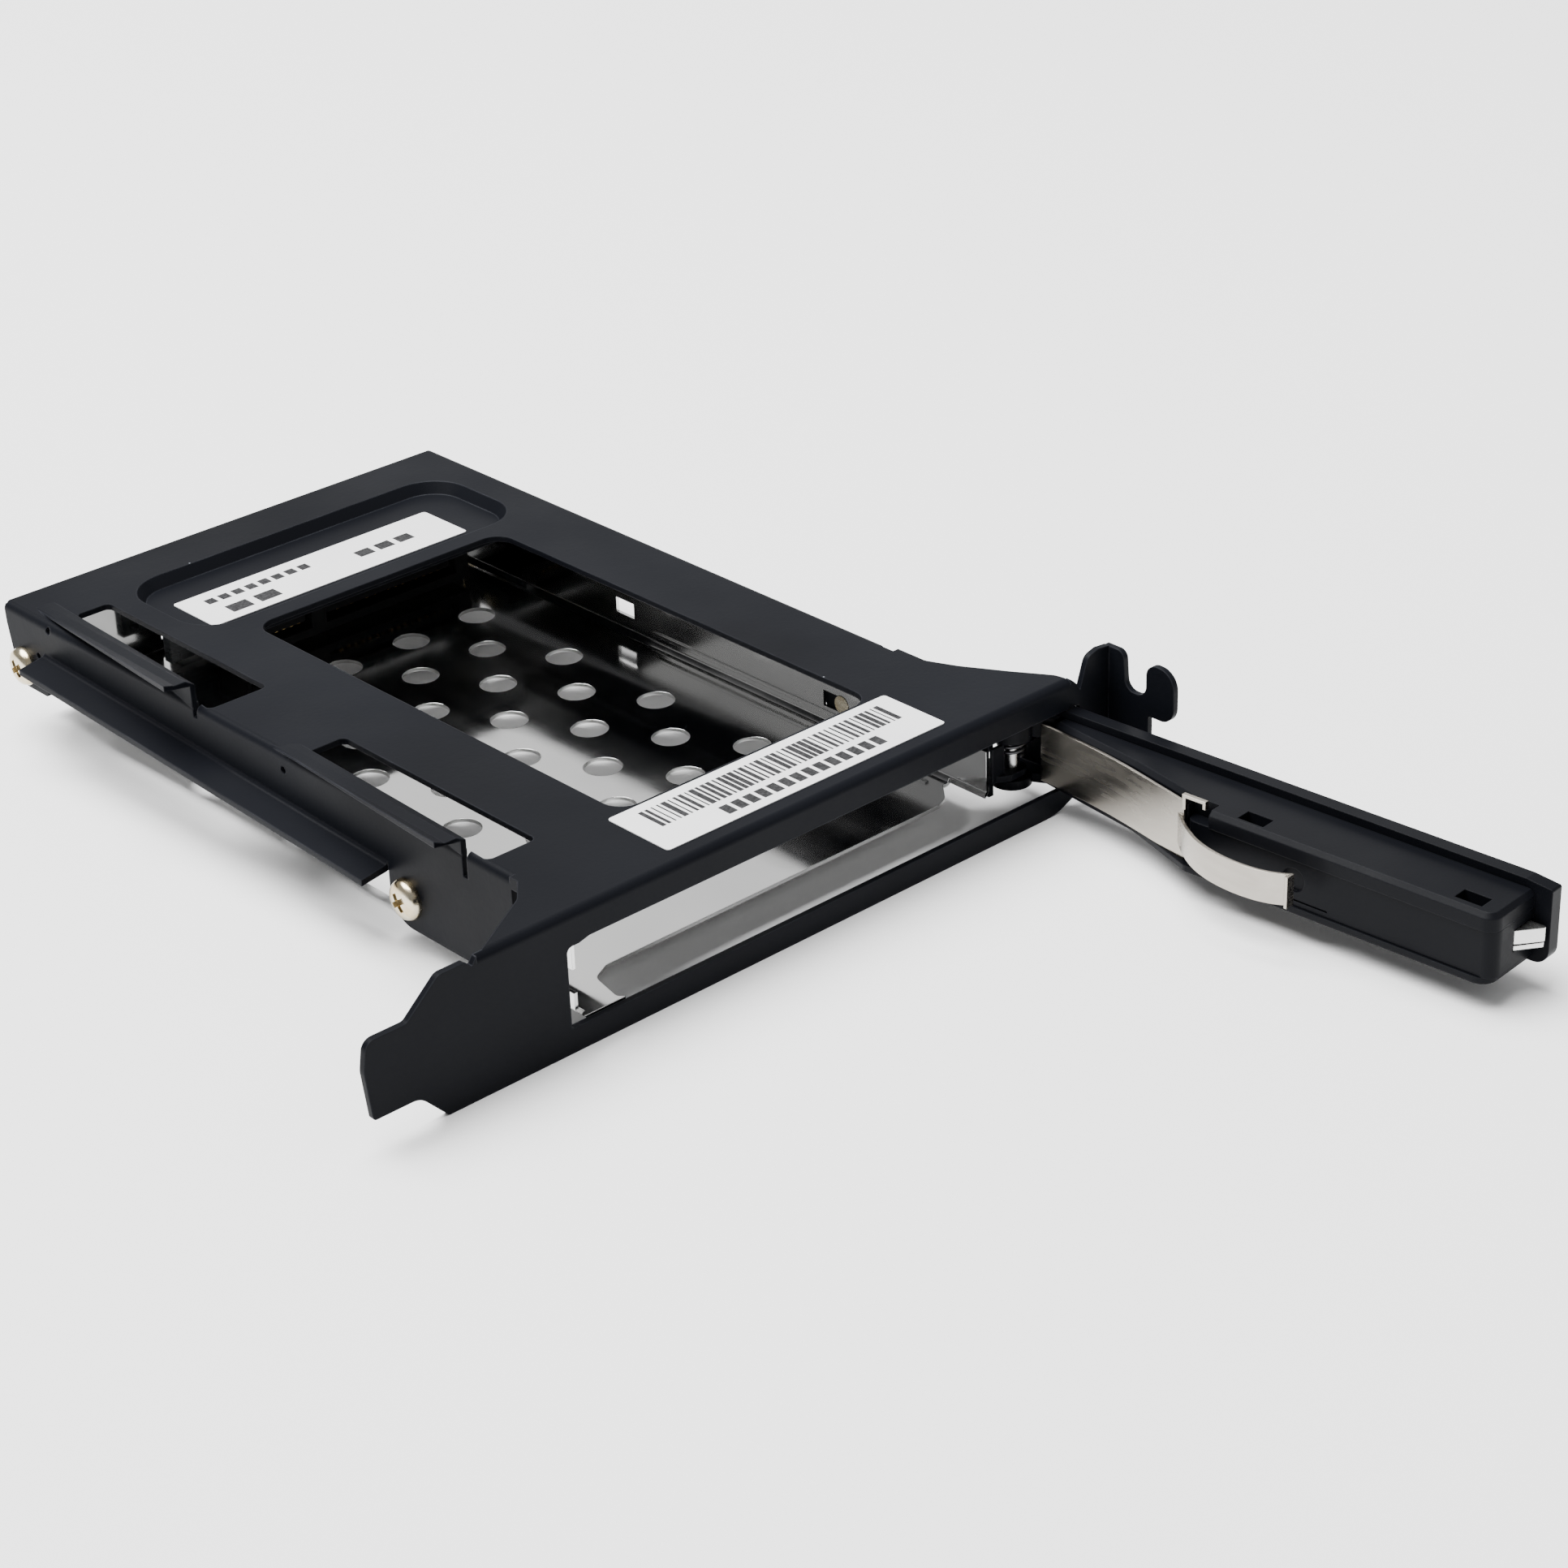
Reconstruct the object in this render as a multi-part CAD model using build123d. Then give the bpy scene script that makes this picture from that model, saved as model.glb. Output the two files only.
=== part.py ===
from build123d import *
import math
import os

os.makedirs("parts", exist_ok=True)

# Millimetres. X runs along the slot bracket, Y into the case, Z up.
# Zero is the bracket's tongue end, its front face and the top of the cover.

# Slot bracket, a standard full-height one
bracket_length = 120.0
bracket_height = 18.4
sheet = 0.8
ear_left = bracket_length - 6.1
tab_depth = 11.1
tab_foot = 6.8

# Body of the folded cover
body_left = 30.3
body_right = bracket_length - 16.6
body_depth = 120.0
body_centre = (body_left + body_right) / 2
ridge_left = 16.4
ridge_right = bracket_length - 7.8
bend_radius = 1.1

# Front opening
mouth_left = body_left - 1.2
mouth_right = ear_left
mouth_top = -4.0
mouth_bottom = -15.1
mouth_step = 0.4

# Cover window, the two slots with their slanted left edges, and the stamped dish
window = (49.5, body_right - 12.4, 14.4, body_depth - 31.0)
rear_slot = (31.0, 34.9, 40.0, body_depth - 47.3, body_depth - 10.8)
front_slot = (31.0, 32.4, 38.3, 16.3, 54.0)
dish_size = (54.5, 20.0)
dish_centre = (body_centre + 3.85, body_depth - 18.0)
dish_depth = 1.6
dish_slope = 55.0

# Side rails, lanced outwards from the lower walls
rail_front = 35.5
rail_rear = body_depth - 8.7
rail_height = -7.6
rail_rise = 0.035
rail_reach = 4.1
rail_drop = 0.7
rail_bend = 0.6

# Lips beside the slots: slit's front, its lower end, lip's rear end and X there, rises of edge, crest and wall
rear_lip = (body_depth - 45.4, -1.8, body_depth - 3.5, 32.3, 3.9, 3.4, 2.5)
front_lip = (19.5, -3.5, 59.5, 30.7, 2.6, 1.9, 1.2)
slit_width = 0.9
lip_reach = 3.8
lip_width = 3.2

# Perforated tray
tray_sheet = 0.5
tray_floor_bottom = -15.35
tray_front = 0.9
tray_rear = body_depth - 0.3
tray_wall_top = -8.4
wall_front_left = 1.8
cover_wall_front = 4.2
wall_front_right = 5.2
latch_slot_rear = 6.2
tray_facet = 1.0
tray_cut_top = -10.9
tray_cut_low = -13.0
tray_floor_inset = 4.0
hole_radius = 2.6
hole_pitch_x = 11.7
hole_pitch_y = 9.72
first_hole = (body_right - 12.4, 37.35)

# Cover screws
screw_head_radius = 2.7
screw_head_height = 1.7
screw_shank_radius = 1.35
screw_shank_length = 1.4
front_screw = (31.9, -11.0)
rear_screw = (body_depth - 3.8, -8.2)

# Rear circuit board and connectors
plug_centre_x = body_right - 25.9
plug_centre_z = -11.2
board_front = tray_rear - 7.3
board_thickness = 1.6
board_left = plug_centre_x - 26.9
board_right = plug_centre_x + 23.9
board_low = -13.9
board_high = -3.4
board_post_x = (plug_centre_x - 25.1, plug_centre_x + 21.9)
board_post_z = -6.6
board_post_radius = 1.8
drive_plug_depth = 7.2
drive_plug_width = 39.5
drive_plug_height = 5.0

# Door, measured along its length from the hinge pin
pin_place = (bracket_length - 13.0, 5.5)
door_open_angle = -85.28
door_end_play = 0.55
door_length = pin_place[0] - mouth_left - door_end_play
door_face_offset = 5.83
door_top = -4.2
door_bottom = -14.7
door_plate = 1.9
door_depth = 10.4
door_tail = 5.4
door_end_gap = 2.3
flange_gap = 0.5
block_root = 31.0
scoop = ((5.0, 3.5), (20.0, 5.9), (29.2, 8.4))
cap_top = -5.3
cap_floor = -7.6
flange_thickness = 0.8
knuckle_radius = 2.7
knuckle_upper = (-8.0, -5.3)
knuckle_lower = (-14.5, -13.25)
pin_radius = 1.0
pin_play = 0.06
coil_radius = 1.7
coil_wire = 0.5
coil_turns = 2
coil_height = 1.5
coil_drop = 0.7
coil_tail = 0.5

# Leaf spring, a flat strip with a bowed tongue
spring_sheet = 0.4
spring_top = -5.8
spring_bottom = -13.85
tongue_top = -7.7
tongue_bottom = -11.9

# Latch
latch_top = -9.0
latch_bottom = -11.6
latch_root = door_length - 11.35
latch_outer = 2.6
latch_inner = 5.85
latch_play = 0.15

# Hinge mount
arm_thickness = 0.85
arm_gap = 0.15
arm_reach = 1.9

inner_left = body_left + sheet
inner_right = body_right - sheet
block_end = door_length - door_end_gap
floor_bottom = tray_floor_bottom
floor_top = floor_bottom + tray_sheet
pieces = {}


def rounded_face(corners):
    """Closed outline from (x, y, radius) corners, each rounded by its radius."""
    face = make_face(Polyline(*[(x, y) for x, y, radius in corners], close=True))
    for x, y, radius in corners:
        if radius > 0:
            corner = face.vertices().sort_by_distance(Vector(x, y, 0))[0]
            face = fillet(corner, radius)
    return face


def flat(face, low, high):
    """Lay a face flat and thicken it between two heights."""
    return Pos(0, 0, low) * extrude(face, high - low)


def upright(face, front, back):
    """Stand a face up across the bracket, X to the right and Z up, between two depths."""
    return Plane.XZ.offset(-back) * extrude(face, back - front)


def sideways(face, left, right):
    """Stand a face up along the body, Y to the rear and Z up, between two X places."""
    return Plane.YZ.offset(left) * extrude(face, right - left)


def block(low, high):
    """Box between two opposite corners."""
    size = [high[i] - low[i] for i in range(3)]
    centre = [(high[i] + low[i]) / 2 for i in range(3)]
    return Pos(*centre) * Box(*size)


def rounding(length):
    """Cutter that rounds a square edge: it fills the corner outside a quarter circle, along Z."""
    corner = Pos(bend_radius / 2, -bend_radius / 2, 0) * Box(bend_radius, bend_radius, length)
    return corner - Pos(bend_radius, -bend_radius, 0) * Cylinder(bend_radius, length)


def mirror_body(solid):
    """Mirror a solid to the other side of the body."""
    return mirror(solid, about=Plane.YZ.offset(body_centre))


def rail_line(y):
    """Height of the side rail's root at a depth."""
    return rail_height + (y - rail_front) * rail_rise


def slot_outline(front_left, rear_left, right, front, back):
    """Slot whose left edge slants away from the wall towards the rear."""
    return rounded_face([
        (front_left, front, 0.9),
        (right, front, 0.9),
        (right, back, 0.9),
        (rear_left, back, 0.9),
    ])


def cover_plate():
    """Flat top with its windows, flares and stamped dish."""
    outline = rounded_face([
        (ridge_left, 0, 0),
        (ridge_right, 0, 0),
        (ridge_right - 0.4, 2.4, 2.0),
        (ridge_right - 3.8, 7.7, 0),
        (body_right + 1.8, 13.2, 6.0),
        (body_right, 17.3, 2.0),
        (body_right, body_depth, 1.0),
        (body_left, body_depth, 1.0),
        (body_left, 10.0, 0),
        (body_left - 2.7, 6.7, 3.0),
    ])
    top = flat(outline, -sheet, 0)
    left, right, front, back = window
    opening = Pos((left + right) / 2, (front + back) / 2) * RectangleRounded(right - left, back - front, 3.0)
    slots = [slot_outline(*rear_slot), slot_outline(*front_slot)]
    width, length = dish_size
    dish = Pos(*dish_centre) * RectangleRounded(width, length, 6.0)
    under = Pos(0, 0, -dish_depth) * extrude(dish, -sheet)
    slope = dish_depth / math.tan(math.radians(90 - dish_slope)) / 2
    skirt = Pos(*dish_centre) * RectangleRounded(width + 2 * sheet, length + 2 * sheet, 6.0 + sheet)
    bowl = Pos(0, 0, -dish_depth - sheet) * extrude(skirt, dish_depth + sheet / 2)
    hollow = Pos(*dish_centre, -dish_depth) * extrude(
        RectangleRounded(width - 2 * slope, length - 2 * slope, 5.0), dish_depth + 1, taper=-35
    )
    top = top + bowl + under
    top = top - hollow
    return top - flat(opening, -5, 1) - [flat(slot, -1.5, 1) for slot in slots]


def front_face():
    """Bracket face with its tongue, ear and wide opening."""
    outline = rounded_face([
        (ridge_left, 0, 0),
        (15.7, -1.0, 0),
        (14.6, -0.1, 0.4),
        (11.0, -0.1, 1.5),
        (6.2, -4.3, 1.0),
        (0.6, -4.3, 1.5),
        (0.0, -8.0, 3.0),
        (0.7, -14.5, 0.5),
        (7.2, -14.5, 2.5),
        (10.9, -bracket_height, 0.8),
        (bracket_length - 10.6, -bracket_height, 8.0),
        (bracket_length - sheet, -14.3, 1.5),
        (bracket_length - sheet, 2.4, 0),
        (bracket_length - 2.8, 2.6, 1.0),
        (ear_left + 1.4, 2.1, 1.5),
        (ear_left, -2.0, 0),
        (ridge_right + 0.9, -0.8, 0.6),
        (ridge_right, 0, 0),
    ])
    mouth = rounded_face([
        (mouth_left + 3.4, mouth_top, 0.8),
        (mouth_left + 1.8, mouth_top - mouth_step, 0.8),
        (mouth_left, mouth_top - mouth_step, 0.8),
        (mouth_left, mouth_bottom, 0.4),
        (mouth_right, mouth_bottom, 0.6),
        (mouth_right, mouth_top, 0.5),
    ])
    return upright(outline, 0, sheet) - upright(mouth, -1, sheet + 1)


def slot_tab():
    """Screw tab folded out from the end of the bracket, with its open notch."""
    outline = rounded_face([
        (sheet, 2.3, 0),
        (-2.5, 2.3, 1.2),
        (-2.9, -2.9, 1.6),
        (-6.4, -2.9, 1.6),
        (-6.4, 2.0, 1.7),
        (-tab_depth, 2.0, 2.6),
        (-tab_depth, -5.3, 2.2),
        (-tab_foot, -5.3, 0.4),
        (-tab_foot, -13.0, 1.5),
        (sheet, -13.0, 0),
    ])
    return sideways(outline, bracket_length - sheet, bracket_length)


def side_wall():
    """Left wall with its long lanced gap and rail."""
    outline = rounded_face([
        (sheet / 2, -0.3, 0),
        (body_depth, -0.3, 0),
        (body_depth - 0.2, -3.0, 4.0),
        (body_depth - 1.0, -7.0, 4.0),
        (body_depth - 1.7, -10.2, 1.2),
        (body_depth - 3.4, -11.4, 1.2),
        (rail_rear, -11.4, 0.6),
        (rail_rear, rail_line(rail_rear) - sheet, 0),
        (rail_front, rail_line(rail_front) - sheet, 0),
        (rail_front, mouth_bottom, 4.0),
        (cover_wall_front, mouth_bottom, 0.8),
        (cover_wall_front, latch_bottom - 0.4, 0),
        (latch_slot_rear, latch_bottom - 0.4, 0.5),
        (latch_slot_rear, latch_top + 0.4, 0.5),
        (cover_wall_front, latch_top + 0.4, 0),
        (cover_wall_front, mouth_top - 0.2, 0),
        (sheet / 2, mouth_top - 0.2, 0),
    ])
    wall = sideways(outline, body_left, inner_left)
    tip = body_left - rail_reach
    profile = rounded_face([
        (body_left, rail_height + 2.4, 0),
        (body_left, rail_height, rail_bend),
        (tip, rail_height - rail_drop, 0),
        (tip, rail_height - rail_drop - sheet, 0),
        (inner_left, rail_height - sheet, rail_bend + sheet),
        (inner_left, rail_height + 2.4, 0),
    ])
    run = rail_rear - rail_front - 0.4
    start = Plane.XZ.offset(-rail_front) * profile
    slant = math.hypot(1, rail_rise)
    rail = extrude(start, amount=run * slant, dir=(0, 1, rail_rise))
    return wall + rail


def lip(front, rear, rear_x, edge_rise, crest_rise, wall_rise):
    """Louvre lip: the corner climbs towards the slit and its top leans out over the wall."""
    edge = body_left - lip_reach
    crest = edge + lip_width
    root = -0.7 * sheet
    start = Plane.XZ.offset(-front) * make_face(Polyline(
        (inner_left, root),
        (inner_left, wall_rise),
        (crest, crest_rise),
        (edge + lip_width / 2, crest_rise),
        (edge, edge_rise),
        (edge, edge_rise - sheet),
        (body_left, wall_rise),
        (body_left, root),
        close=True,
    ))
    end = Plane.XZ.offset(-rear) * make_face(Polyline(
        (rear_x + lip_width, root),
        (rear_x + lip_width, -0.2),
        (rear_x + lip_width - 0.3, -0.1),
        (rear_x + lip_width / 2, -0.1),
        (rear_x + 0.3, -0.1),
        (rear_x + 0.2, -0.2),
        (rear_x + 0.1, -0.3),
        (rear_x, root),
        close=True,
    ))
    return loft([start.face(), end.face()], ruled=True)


def rounded_bends(cover):
    """Round the folds along both sides and across the front."""
    for edge, low, turn in ((body_left, 11.5, 0), (body_right, 24.9, -90)):
        run = rounding(body_depth - low)
        cover -= Pos(edge, (body_depth + low) / 2, 0) * Rot(90, 0, 0) * Rot(0, 0, turn) * run
    run = rounding(ridge_right - ridge_left)
    return cover - Pos((ridge_left + ridge_right) / 2, 0, 0) * Rot(0, 90, 0) * Rot(0, 0, 90) * run


def cover_bracket():
    """The whole black folded sheet."""
    left = side_wall()
    right = mirror_body(left)
    right -= block((inner_right - 1, -1, -16), (body_right + 1, wall_front_right, 0))
    right -= block((inner_right - 1, 0, -sheet - 0.8), (body_right + 1, 24.9, 0))
    cover = rounded_bends(cover_plate() + front_face() + slot_tab() + left + right)
    cover -= block((body_right - 0.9, 22.3, -sheet - 0.8), (body_right + 1, 24.9, 1))
    for slit_y, slit_low, rear, rear_x, *rises in (rear_lip, front_lip):
        cover += lip(slit_y + slit_width, rear, rear_x, *rises)
        cover -= block((body_left - 1, slit_y, slit_low), (inner_left + 0.7, slit_y + slit_width, 1))
    cover -= block((body_left - 1.2, 9.8, -4.5), (body_left + 1.0, 11.2, -1.6))
    for y, z in ((body_depth - 10.7, -0.9), (body_depth - 7.5, -5.6), (56.2, -2.4)):
        cover -= Pos(body_left, y, z) * Rot(0, 90, 0) * Cylinder(0.5, 3)
    for y, z in (front_screw, rear_screw):
        cover -= Pos(body_centre, y, z) * Rot(0, 90, 0) * Cylinder(screw_shank_radius, bracket_length)
    return cover


def drive_tray():
    """Bright perforated tray under the cover."""
    half = (inner_right - inner_left) / 2
    outer = rounded_face([
        (-half, tray_wall_top, 0),
        (-half, floor_bottom + tray_facet, 0.6),
        (-half + tray_facet, floor_bottom, 0.6),
        (half - tray_facet, floor_bottom, 0.6),
        (half, floor_bottom + tray_facet, 0.6),
        (half, tray_wall_top, 0),
        (half - tray_sheet, tray_wall_top, 0),
        (half - tray_sheet, floor_bottom + tray_facet + tray_sheet / 2, 0.3),
        (half - tray_facet - tray_sheet / 2, floor_top, 0.3),
        (-half + tray_facet + tray_sheet / 2, floor_top, 0.3),
        (-half + tray_sheet, floor_bottom + tray_facet + tray_sheet / 2, 0.3),
        (-half + tray_sheet, tray_wall_top, 0),
    ])
    tray = Pos(body_centre, 0, 0) * upright(outer, tray_front, tray_rear)
    tray -= block((inner_left - 1, -1, floor_top), (inner_left + 2, wall_front_left, 0))
    tray -= block((inner_left - 1, -1, latch_bottom - 0.4),
                  (inner_left + 1, latch_slot_rear, latch_top + 0.4))
    tray -= block((inner_right - 2, -1, floor_bottom - 1), (inner_right + 1, wall_front_right, 0))
    for front, back, high in ((27.5, 44.0, -6.9), (tray_rear - 8.2, tray_rear, -4.4)):
        lug = block((inner_left, front, tray_wall_top - 1), (inner_left + tray_sheet, back, high))
        tray += lug
        tray += mirror_body(lug)
    tray += block((inner_left, wall_front_left, tray_wall_top - 0.5),
                  (inner_left + tray_sheet, latch_slot_rear + 2, mouth_top - 0.4))
    tray += block((inner_left + tray_floor_inset + 1.0, tray_rear - tray_sheet, floor_bottom + 0.3),
                  (inner_right - 1.5, tray_rear, -3.4))
    front_cut = rounded_face([
        (inner_left + 9.9, -2.0, 0),
        (inner_left + 6.1, 1.6, 0.8),
        (inner_left + 7.1, 6.6, 1.5),
        (inner_left + 9.9, 8.0, 1.5),
        (inner_right - 6.1, 8.0, 1.5),
        (inner_right - 4.3, 8.8, 0.8),
        (inner_right - 2.0, 11.5, 0),
        (inner_right - 0.7, 11.5, 0),
        (inner_right - 0.7, -2.0, 0),
    ])
    tray -= flat(front_cut, floor_bottom - 1, floor_top + 0.5)
    left_slot = rounded_face([
        (rail_front + 0.6, tray_cut_low, 0.8),
        (rail_front + 0.6, floor_bottom - 2, 0),
        (tray_rear + 1, floor_bottom - 2, 0),
        (tray_rear + 1, tray_cut_top, 0),
        (rail_front + 12.0, tray_cut_top, 3.0),
        (rail_front + 8.0, tray_cut_low, 3.0),
    ])
    tray -= sideways(left_slot, inner_left - 1, inner_left + tray_floor_inset)
    for y in (74.0, 31.6):
        tray -= block((inner_right - 2, y, -12.2), (inner_right + 0.5, y + 3.8, -9.9))
    column_x, row_y = first_hole
    holes = []
    for row in range(-1, 7):
        shift = 0 if row % 2 == 0 else hole_pitch_x / 2
        for column in range(-1, 6):
            x = column_x - shift - column * hole_pitch_x
            y = row_y + row * hole_pitch_y
            if inner_left + 7 < x < inner_right - 6 and 12 < y < tray_rear - 20:
                holes.append(Pos(x, y, floor_bottom) * Cylinder(hole_radius, 4))
    tray -= holes
    for x in (plug_centre_x - 12.5, plug_centre_x + 9.0):
        width = 19.0 if x > plug_centre_x else 25.0
        tray -= block((x - width / 2 + 1, tray_rear - 2, -13.4), (x + width / 2 + 1, tray_rear + 1, -5.6))
    for y, z in (front_screw, rear_screw):
        tray -= Pos(body_centre, y, z) * Rot(0, 90, 0) * Cylinder(screw_shank_radius, bracket_length)
    rib = block((inner_right - tray_sheet - 0.3, 16, -13.2), (inner_right - tray_sheet, 70, -12.7))
    tray += rib
    return tray


def pan_screw():
    """Pan-head screw with a cross recess, its head towards +Z."""
    head = Pos(0, 0, screw_head_height / 2) * Cylinder(screw_head_radius, screw_head_height)
    rim = head.edges().group_by(Axis.Z)[-1]
    head = fillet(rim, 1.1)
    shank = Pos(0, 0, -screw_shank_length / 2) * Cylinder(screw_shank_radius, screw_shank_length)
    cross = Pos(0, 0, screw_head_height) * (Box(3.0, 0.7, 1.8) + Box(0.7, 3.0, 1.8))
    return head + shank - cross


def cover_screws():
    """Two screws in each side wall."""
    screws = []
    for y, z in (front_screw, rear_screw):
        left = Pos(body_left, y, z) * Rot(0, -90, 0) * pan_screw()
        screws.append(left)
        screws.append(mirror_body(left))
    return Compound(children=screws)


def label(width, length, centre, low):
    """Blank label with rounded corners."""
    return flat(Pos(*centre) * RectangleRounded(width, length, 0.5), low, low + 0.12)


def circuit_board():
    """Board that stands behind the drive."""
    back = board_front + board_thickness
    board = block((board_left, board_front, board_low), (board_right, back, board_high))
    for x in board_post_x:
        board -= Pos(x, board_front, board_post_z) * Rot(90, 0, 0) * Cylinder(1.1, 6)
    return board


def drive_plug():
    """Black receptacle that the drive slides onto."""
    back = board_front
    front = back - drive_plug_depth
    half = drive_plug_width / 2
    low = plug_centre_z - drive_plug_height / 2
    high = plug_centre_z + drive_plug_height / 2
    shell = block((plug_centre_x - half, front, low), (plug_centre_x + half, back, high))
    for left, right in ((-19.0, -8.0), (-5.5, 17.5)):
        pocket = block((plug_centre_x + left, front - 1, plug_centre_z - 1.3),
                       (plug_centre_x + right, back - 1.4, plug_centre_z + 1.5))
        tongue = block((plug_centre_x + left + 0.6, front + 0.8, plug_centre_z - 0.3),
                       (plug_centre_x + right - 0.6, back - 1.0, plug_centre_z + 0.9))
        shell = shell - pocket + tongue
    return shell


def contact_row(left, count, pitch, low, front, back):
    """Row of separate flat contacts."""
    bars = []
    for index in range(count):
        x = left + index * pitch
        bars.append(block((x - 0.3, front, low), (x + 0.3, back, low + 0.25)))
    return bars


def drive_contacts():
    """Contacts under the receptacle's two tongues."""
    front = board_front - drive_plug_depth + 1.0
    back = board_front - 1.4
    low = plug_centre_z - 0.55
    bars = contact_row(plug_centre_x - 17.2, 7, 1.27, low, front, back)
    bars += contact_row(plug_centre_x - 2.8, 15, 1.27, low, front, back)
    return Compound(children=bars)


def rear_plug(centre_x, width):
    """Shrouded plug on the board's rear, open to the back of the case."""
    front = board_front + board_thickness
    back = tray_rear - 0.3
    shell = block((centre_x - width / 2, front, -12.9), (centre_x + width / 2, back, -6.1))
    shell -= block((centre_x - width / 2 + 1, front + 1.2, -11.9), (centre_x + width / 2 - 1, back + 1, -7.1))
    blade = block((centre_x - width / 2 + 2, front + 1, -10.1), (centre_x + width / 2 - 2, back - 0.6, -8.9))
    key = block((centre_x + width / 2 - 3, front + 1, -11.2), (centre_x + width / 2 - 2, back - 0.6, -8.9))
    return shell + blade + key


def rear_contacts(centre_x, count):
    """Contacts on top of a rear plug's blade."""
    front = board_front + board_thickness + 1.2
    left = centre_x - (count - 1) * 1.27 / 2 - 0.3
    return Compound(children=contact_row(left, count, 1.27, -8.9, front, tray_rear - 1.2))


def board_screws():
    """Screws that hold the board to its stand-offs on the tray's back wall."""
    parts = []
    for x in board_post_x:
        head = Pos(x, board_front - 0.6, board_post_z) * Rot(90, 0, 0) * Cylinder(1.7, 1.2)
        shank = Pos(x, board_front + board_thickness, board_post_z) * Rot(90, 0, 0) * Cylinder(1.0, 3.4)
        slot = Box(0.6, 1.0, 2.4) + Box(2.4, 1.0, 0.6)
        parts.append(head + shank - Pos(x, board_front - 1.2, board_post_z) * slot)
    return Compound(children=parts)


def standoffs():
    """Short posts between the board and the tray's back wall."""
    posts = []
    front = board_front + board_thickness
    back = tray_rear - tray_sheet
    for x in board_post_x:
        place = Pos(x, (front + back) / 2, board_post_z) * Rot(90, 0, 0)
        post = place * Cylinder(board_post_radius, back - front)
        bore = Pos(x, front, board_post_z) * Rot(90, 0, 0) * Cylinder(1.05, 4.0)
        posts.append(post - bore)
    return Compound(children=posts)


def hinge_mount():
    """Folded black support that carries the hinge pin under the cover's flare."""
    x, y = pin_place
    arm = rounded_face([
        (body_right, y - 0.9, 0),
        (x - arm_reach, y - arm_reach, 0),
        (x + arm_reach, y - arm_reach, 1.6),
        (x + arm_reach, y + arm_reach, 1.6),
        (body_right, y + 5.5, 0),
    ])
    upper_low = knuckle_upper[1] + arm_gap
    lower_low = knuckle_lower[1] + arm_gap
    lower_high = lower_low + arm_thickness
    upper = flat(arm, upper_low, upper_low + arm_thickness)
    lower = flat(arm, lower_low, lower_high)
    spine = block((body_right, y + 1.0, lower_low), (body_right + 0.6, y + 5.5, upper_low + arm_thickness))
    stop = block((inner_right + 0.1, y - 0.9, lower_low),
                 (x - 2.2, wall_front_right - 0.05, knuckle_upper[0] - arm_gap))
    bore = Pos(x, y, 0) * Cylinder(pin_radius + 0.02, 60)
    return upper + lower + spine + stop - bore


def hinge_pin():
    """Steel pin with a small head on top."""
    x, y = pin_place
    low = knuckle_lower[0] - 0.2
    high = knuckle_upper[1] + arm_gap + arm_thickness
    shaft = Pos(x, y, (low + high) / 2) * Cylinder(pin_radius, high - low)
    head = Pos(x, y, high + 0.3) * Cylinder(1.6, 0.6)
    return shaft + head


def hinge_spring():
    """Torsion spring round the pin, one leg on the door plate and one cut short."""
    low = knuckle_upper[0] - coil_drop - coil_height
    coil = Pos(0, 0, low) * Helix(pitch=coil_height / coil_turns, height=coil_height, radius=coil_radius)
    start = Plane(origin=coil @ 0, z_dir=coil % 0)
    end = Plane(origin=coil @ 1, z_dir=coil % 1)
    wire = Circle(coil_wire / 2)
    spring = sweep(start * wire, path=coil, is_frenet=True)
    return spring + extrude(start * wire, -coil_tail) + extrude(end * wire, depth(door_plate) - 0.3)


def door_place(solid):
    """Turn a solid from the door's own axes into its open place on the pin."""
    return Pos(*pin_place, 0) * Rot(0, 0, door_open_angle) * solid


def depth(inward):
    """Door-local Y for a distance inwards from the outer face."""
    return door_face_offset - inward


def door_shell():
    """Outer plate, bottom flange and hinge arm."""
    outline = rounded_face([
        (-door_tail, door_bottom, 1.0),
        (door_length, door_bottom, 2.0),
        (door_length, door_top - mouth_step, 0.3),
        (door_length - 3.6, door_top, 0),
        (-door_tail, door_top, 0.3),
    ])
    outer = door_face_offset
    plate = Plane.XZ.offset(-outer) * extrude(outline, door_plate)
    flange = rounded_face([
        (3.5, depth(0.5), 0),
        (block_end - flange_gap, depth(0.5), 0),
        (block_end - flange_gap, depth(door_depth), 2.0),
        (block_root, depth(door_depth), 1.5),
        (scoop[1][0], depth(scoop[1][1] + 0.4), 12.0),
        (3.5, depth(3.2), 0),
    ])
    shell = plate + flat(flange, door_bottom, door_bottom + flange_thickness)
    web = rounded_face([
        (-2.6, depth(0.5), 0),
        (4.8, depth(0.5), 0),
        (4.8, depth(3.1), 0),
        (2.2, 1.5, 0),
        (-2.6, 0.4, 0),
    ])
    ring = Circle(knuckle_radius)
    for low, high in (knuckle_lower, knuckle_upper):
        shell += flat(web, low, high) + flat(ring, low, high)
    shell -= Pos(0, 0, -9) * Cylinder(pin_radius + pin_play, 40)
    slot = Pos(latch_root + 1.5, door_face_offset, -10.15) * Box(9.0, 8.0, 2.7)
    return shell - slot


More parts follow.
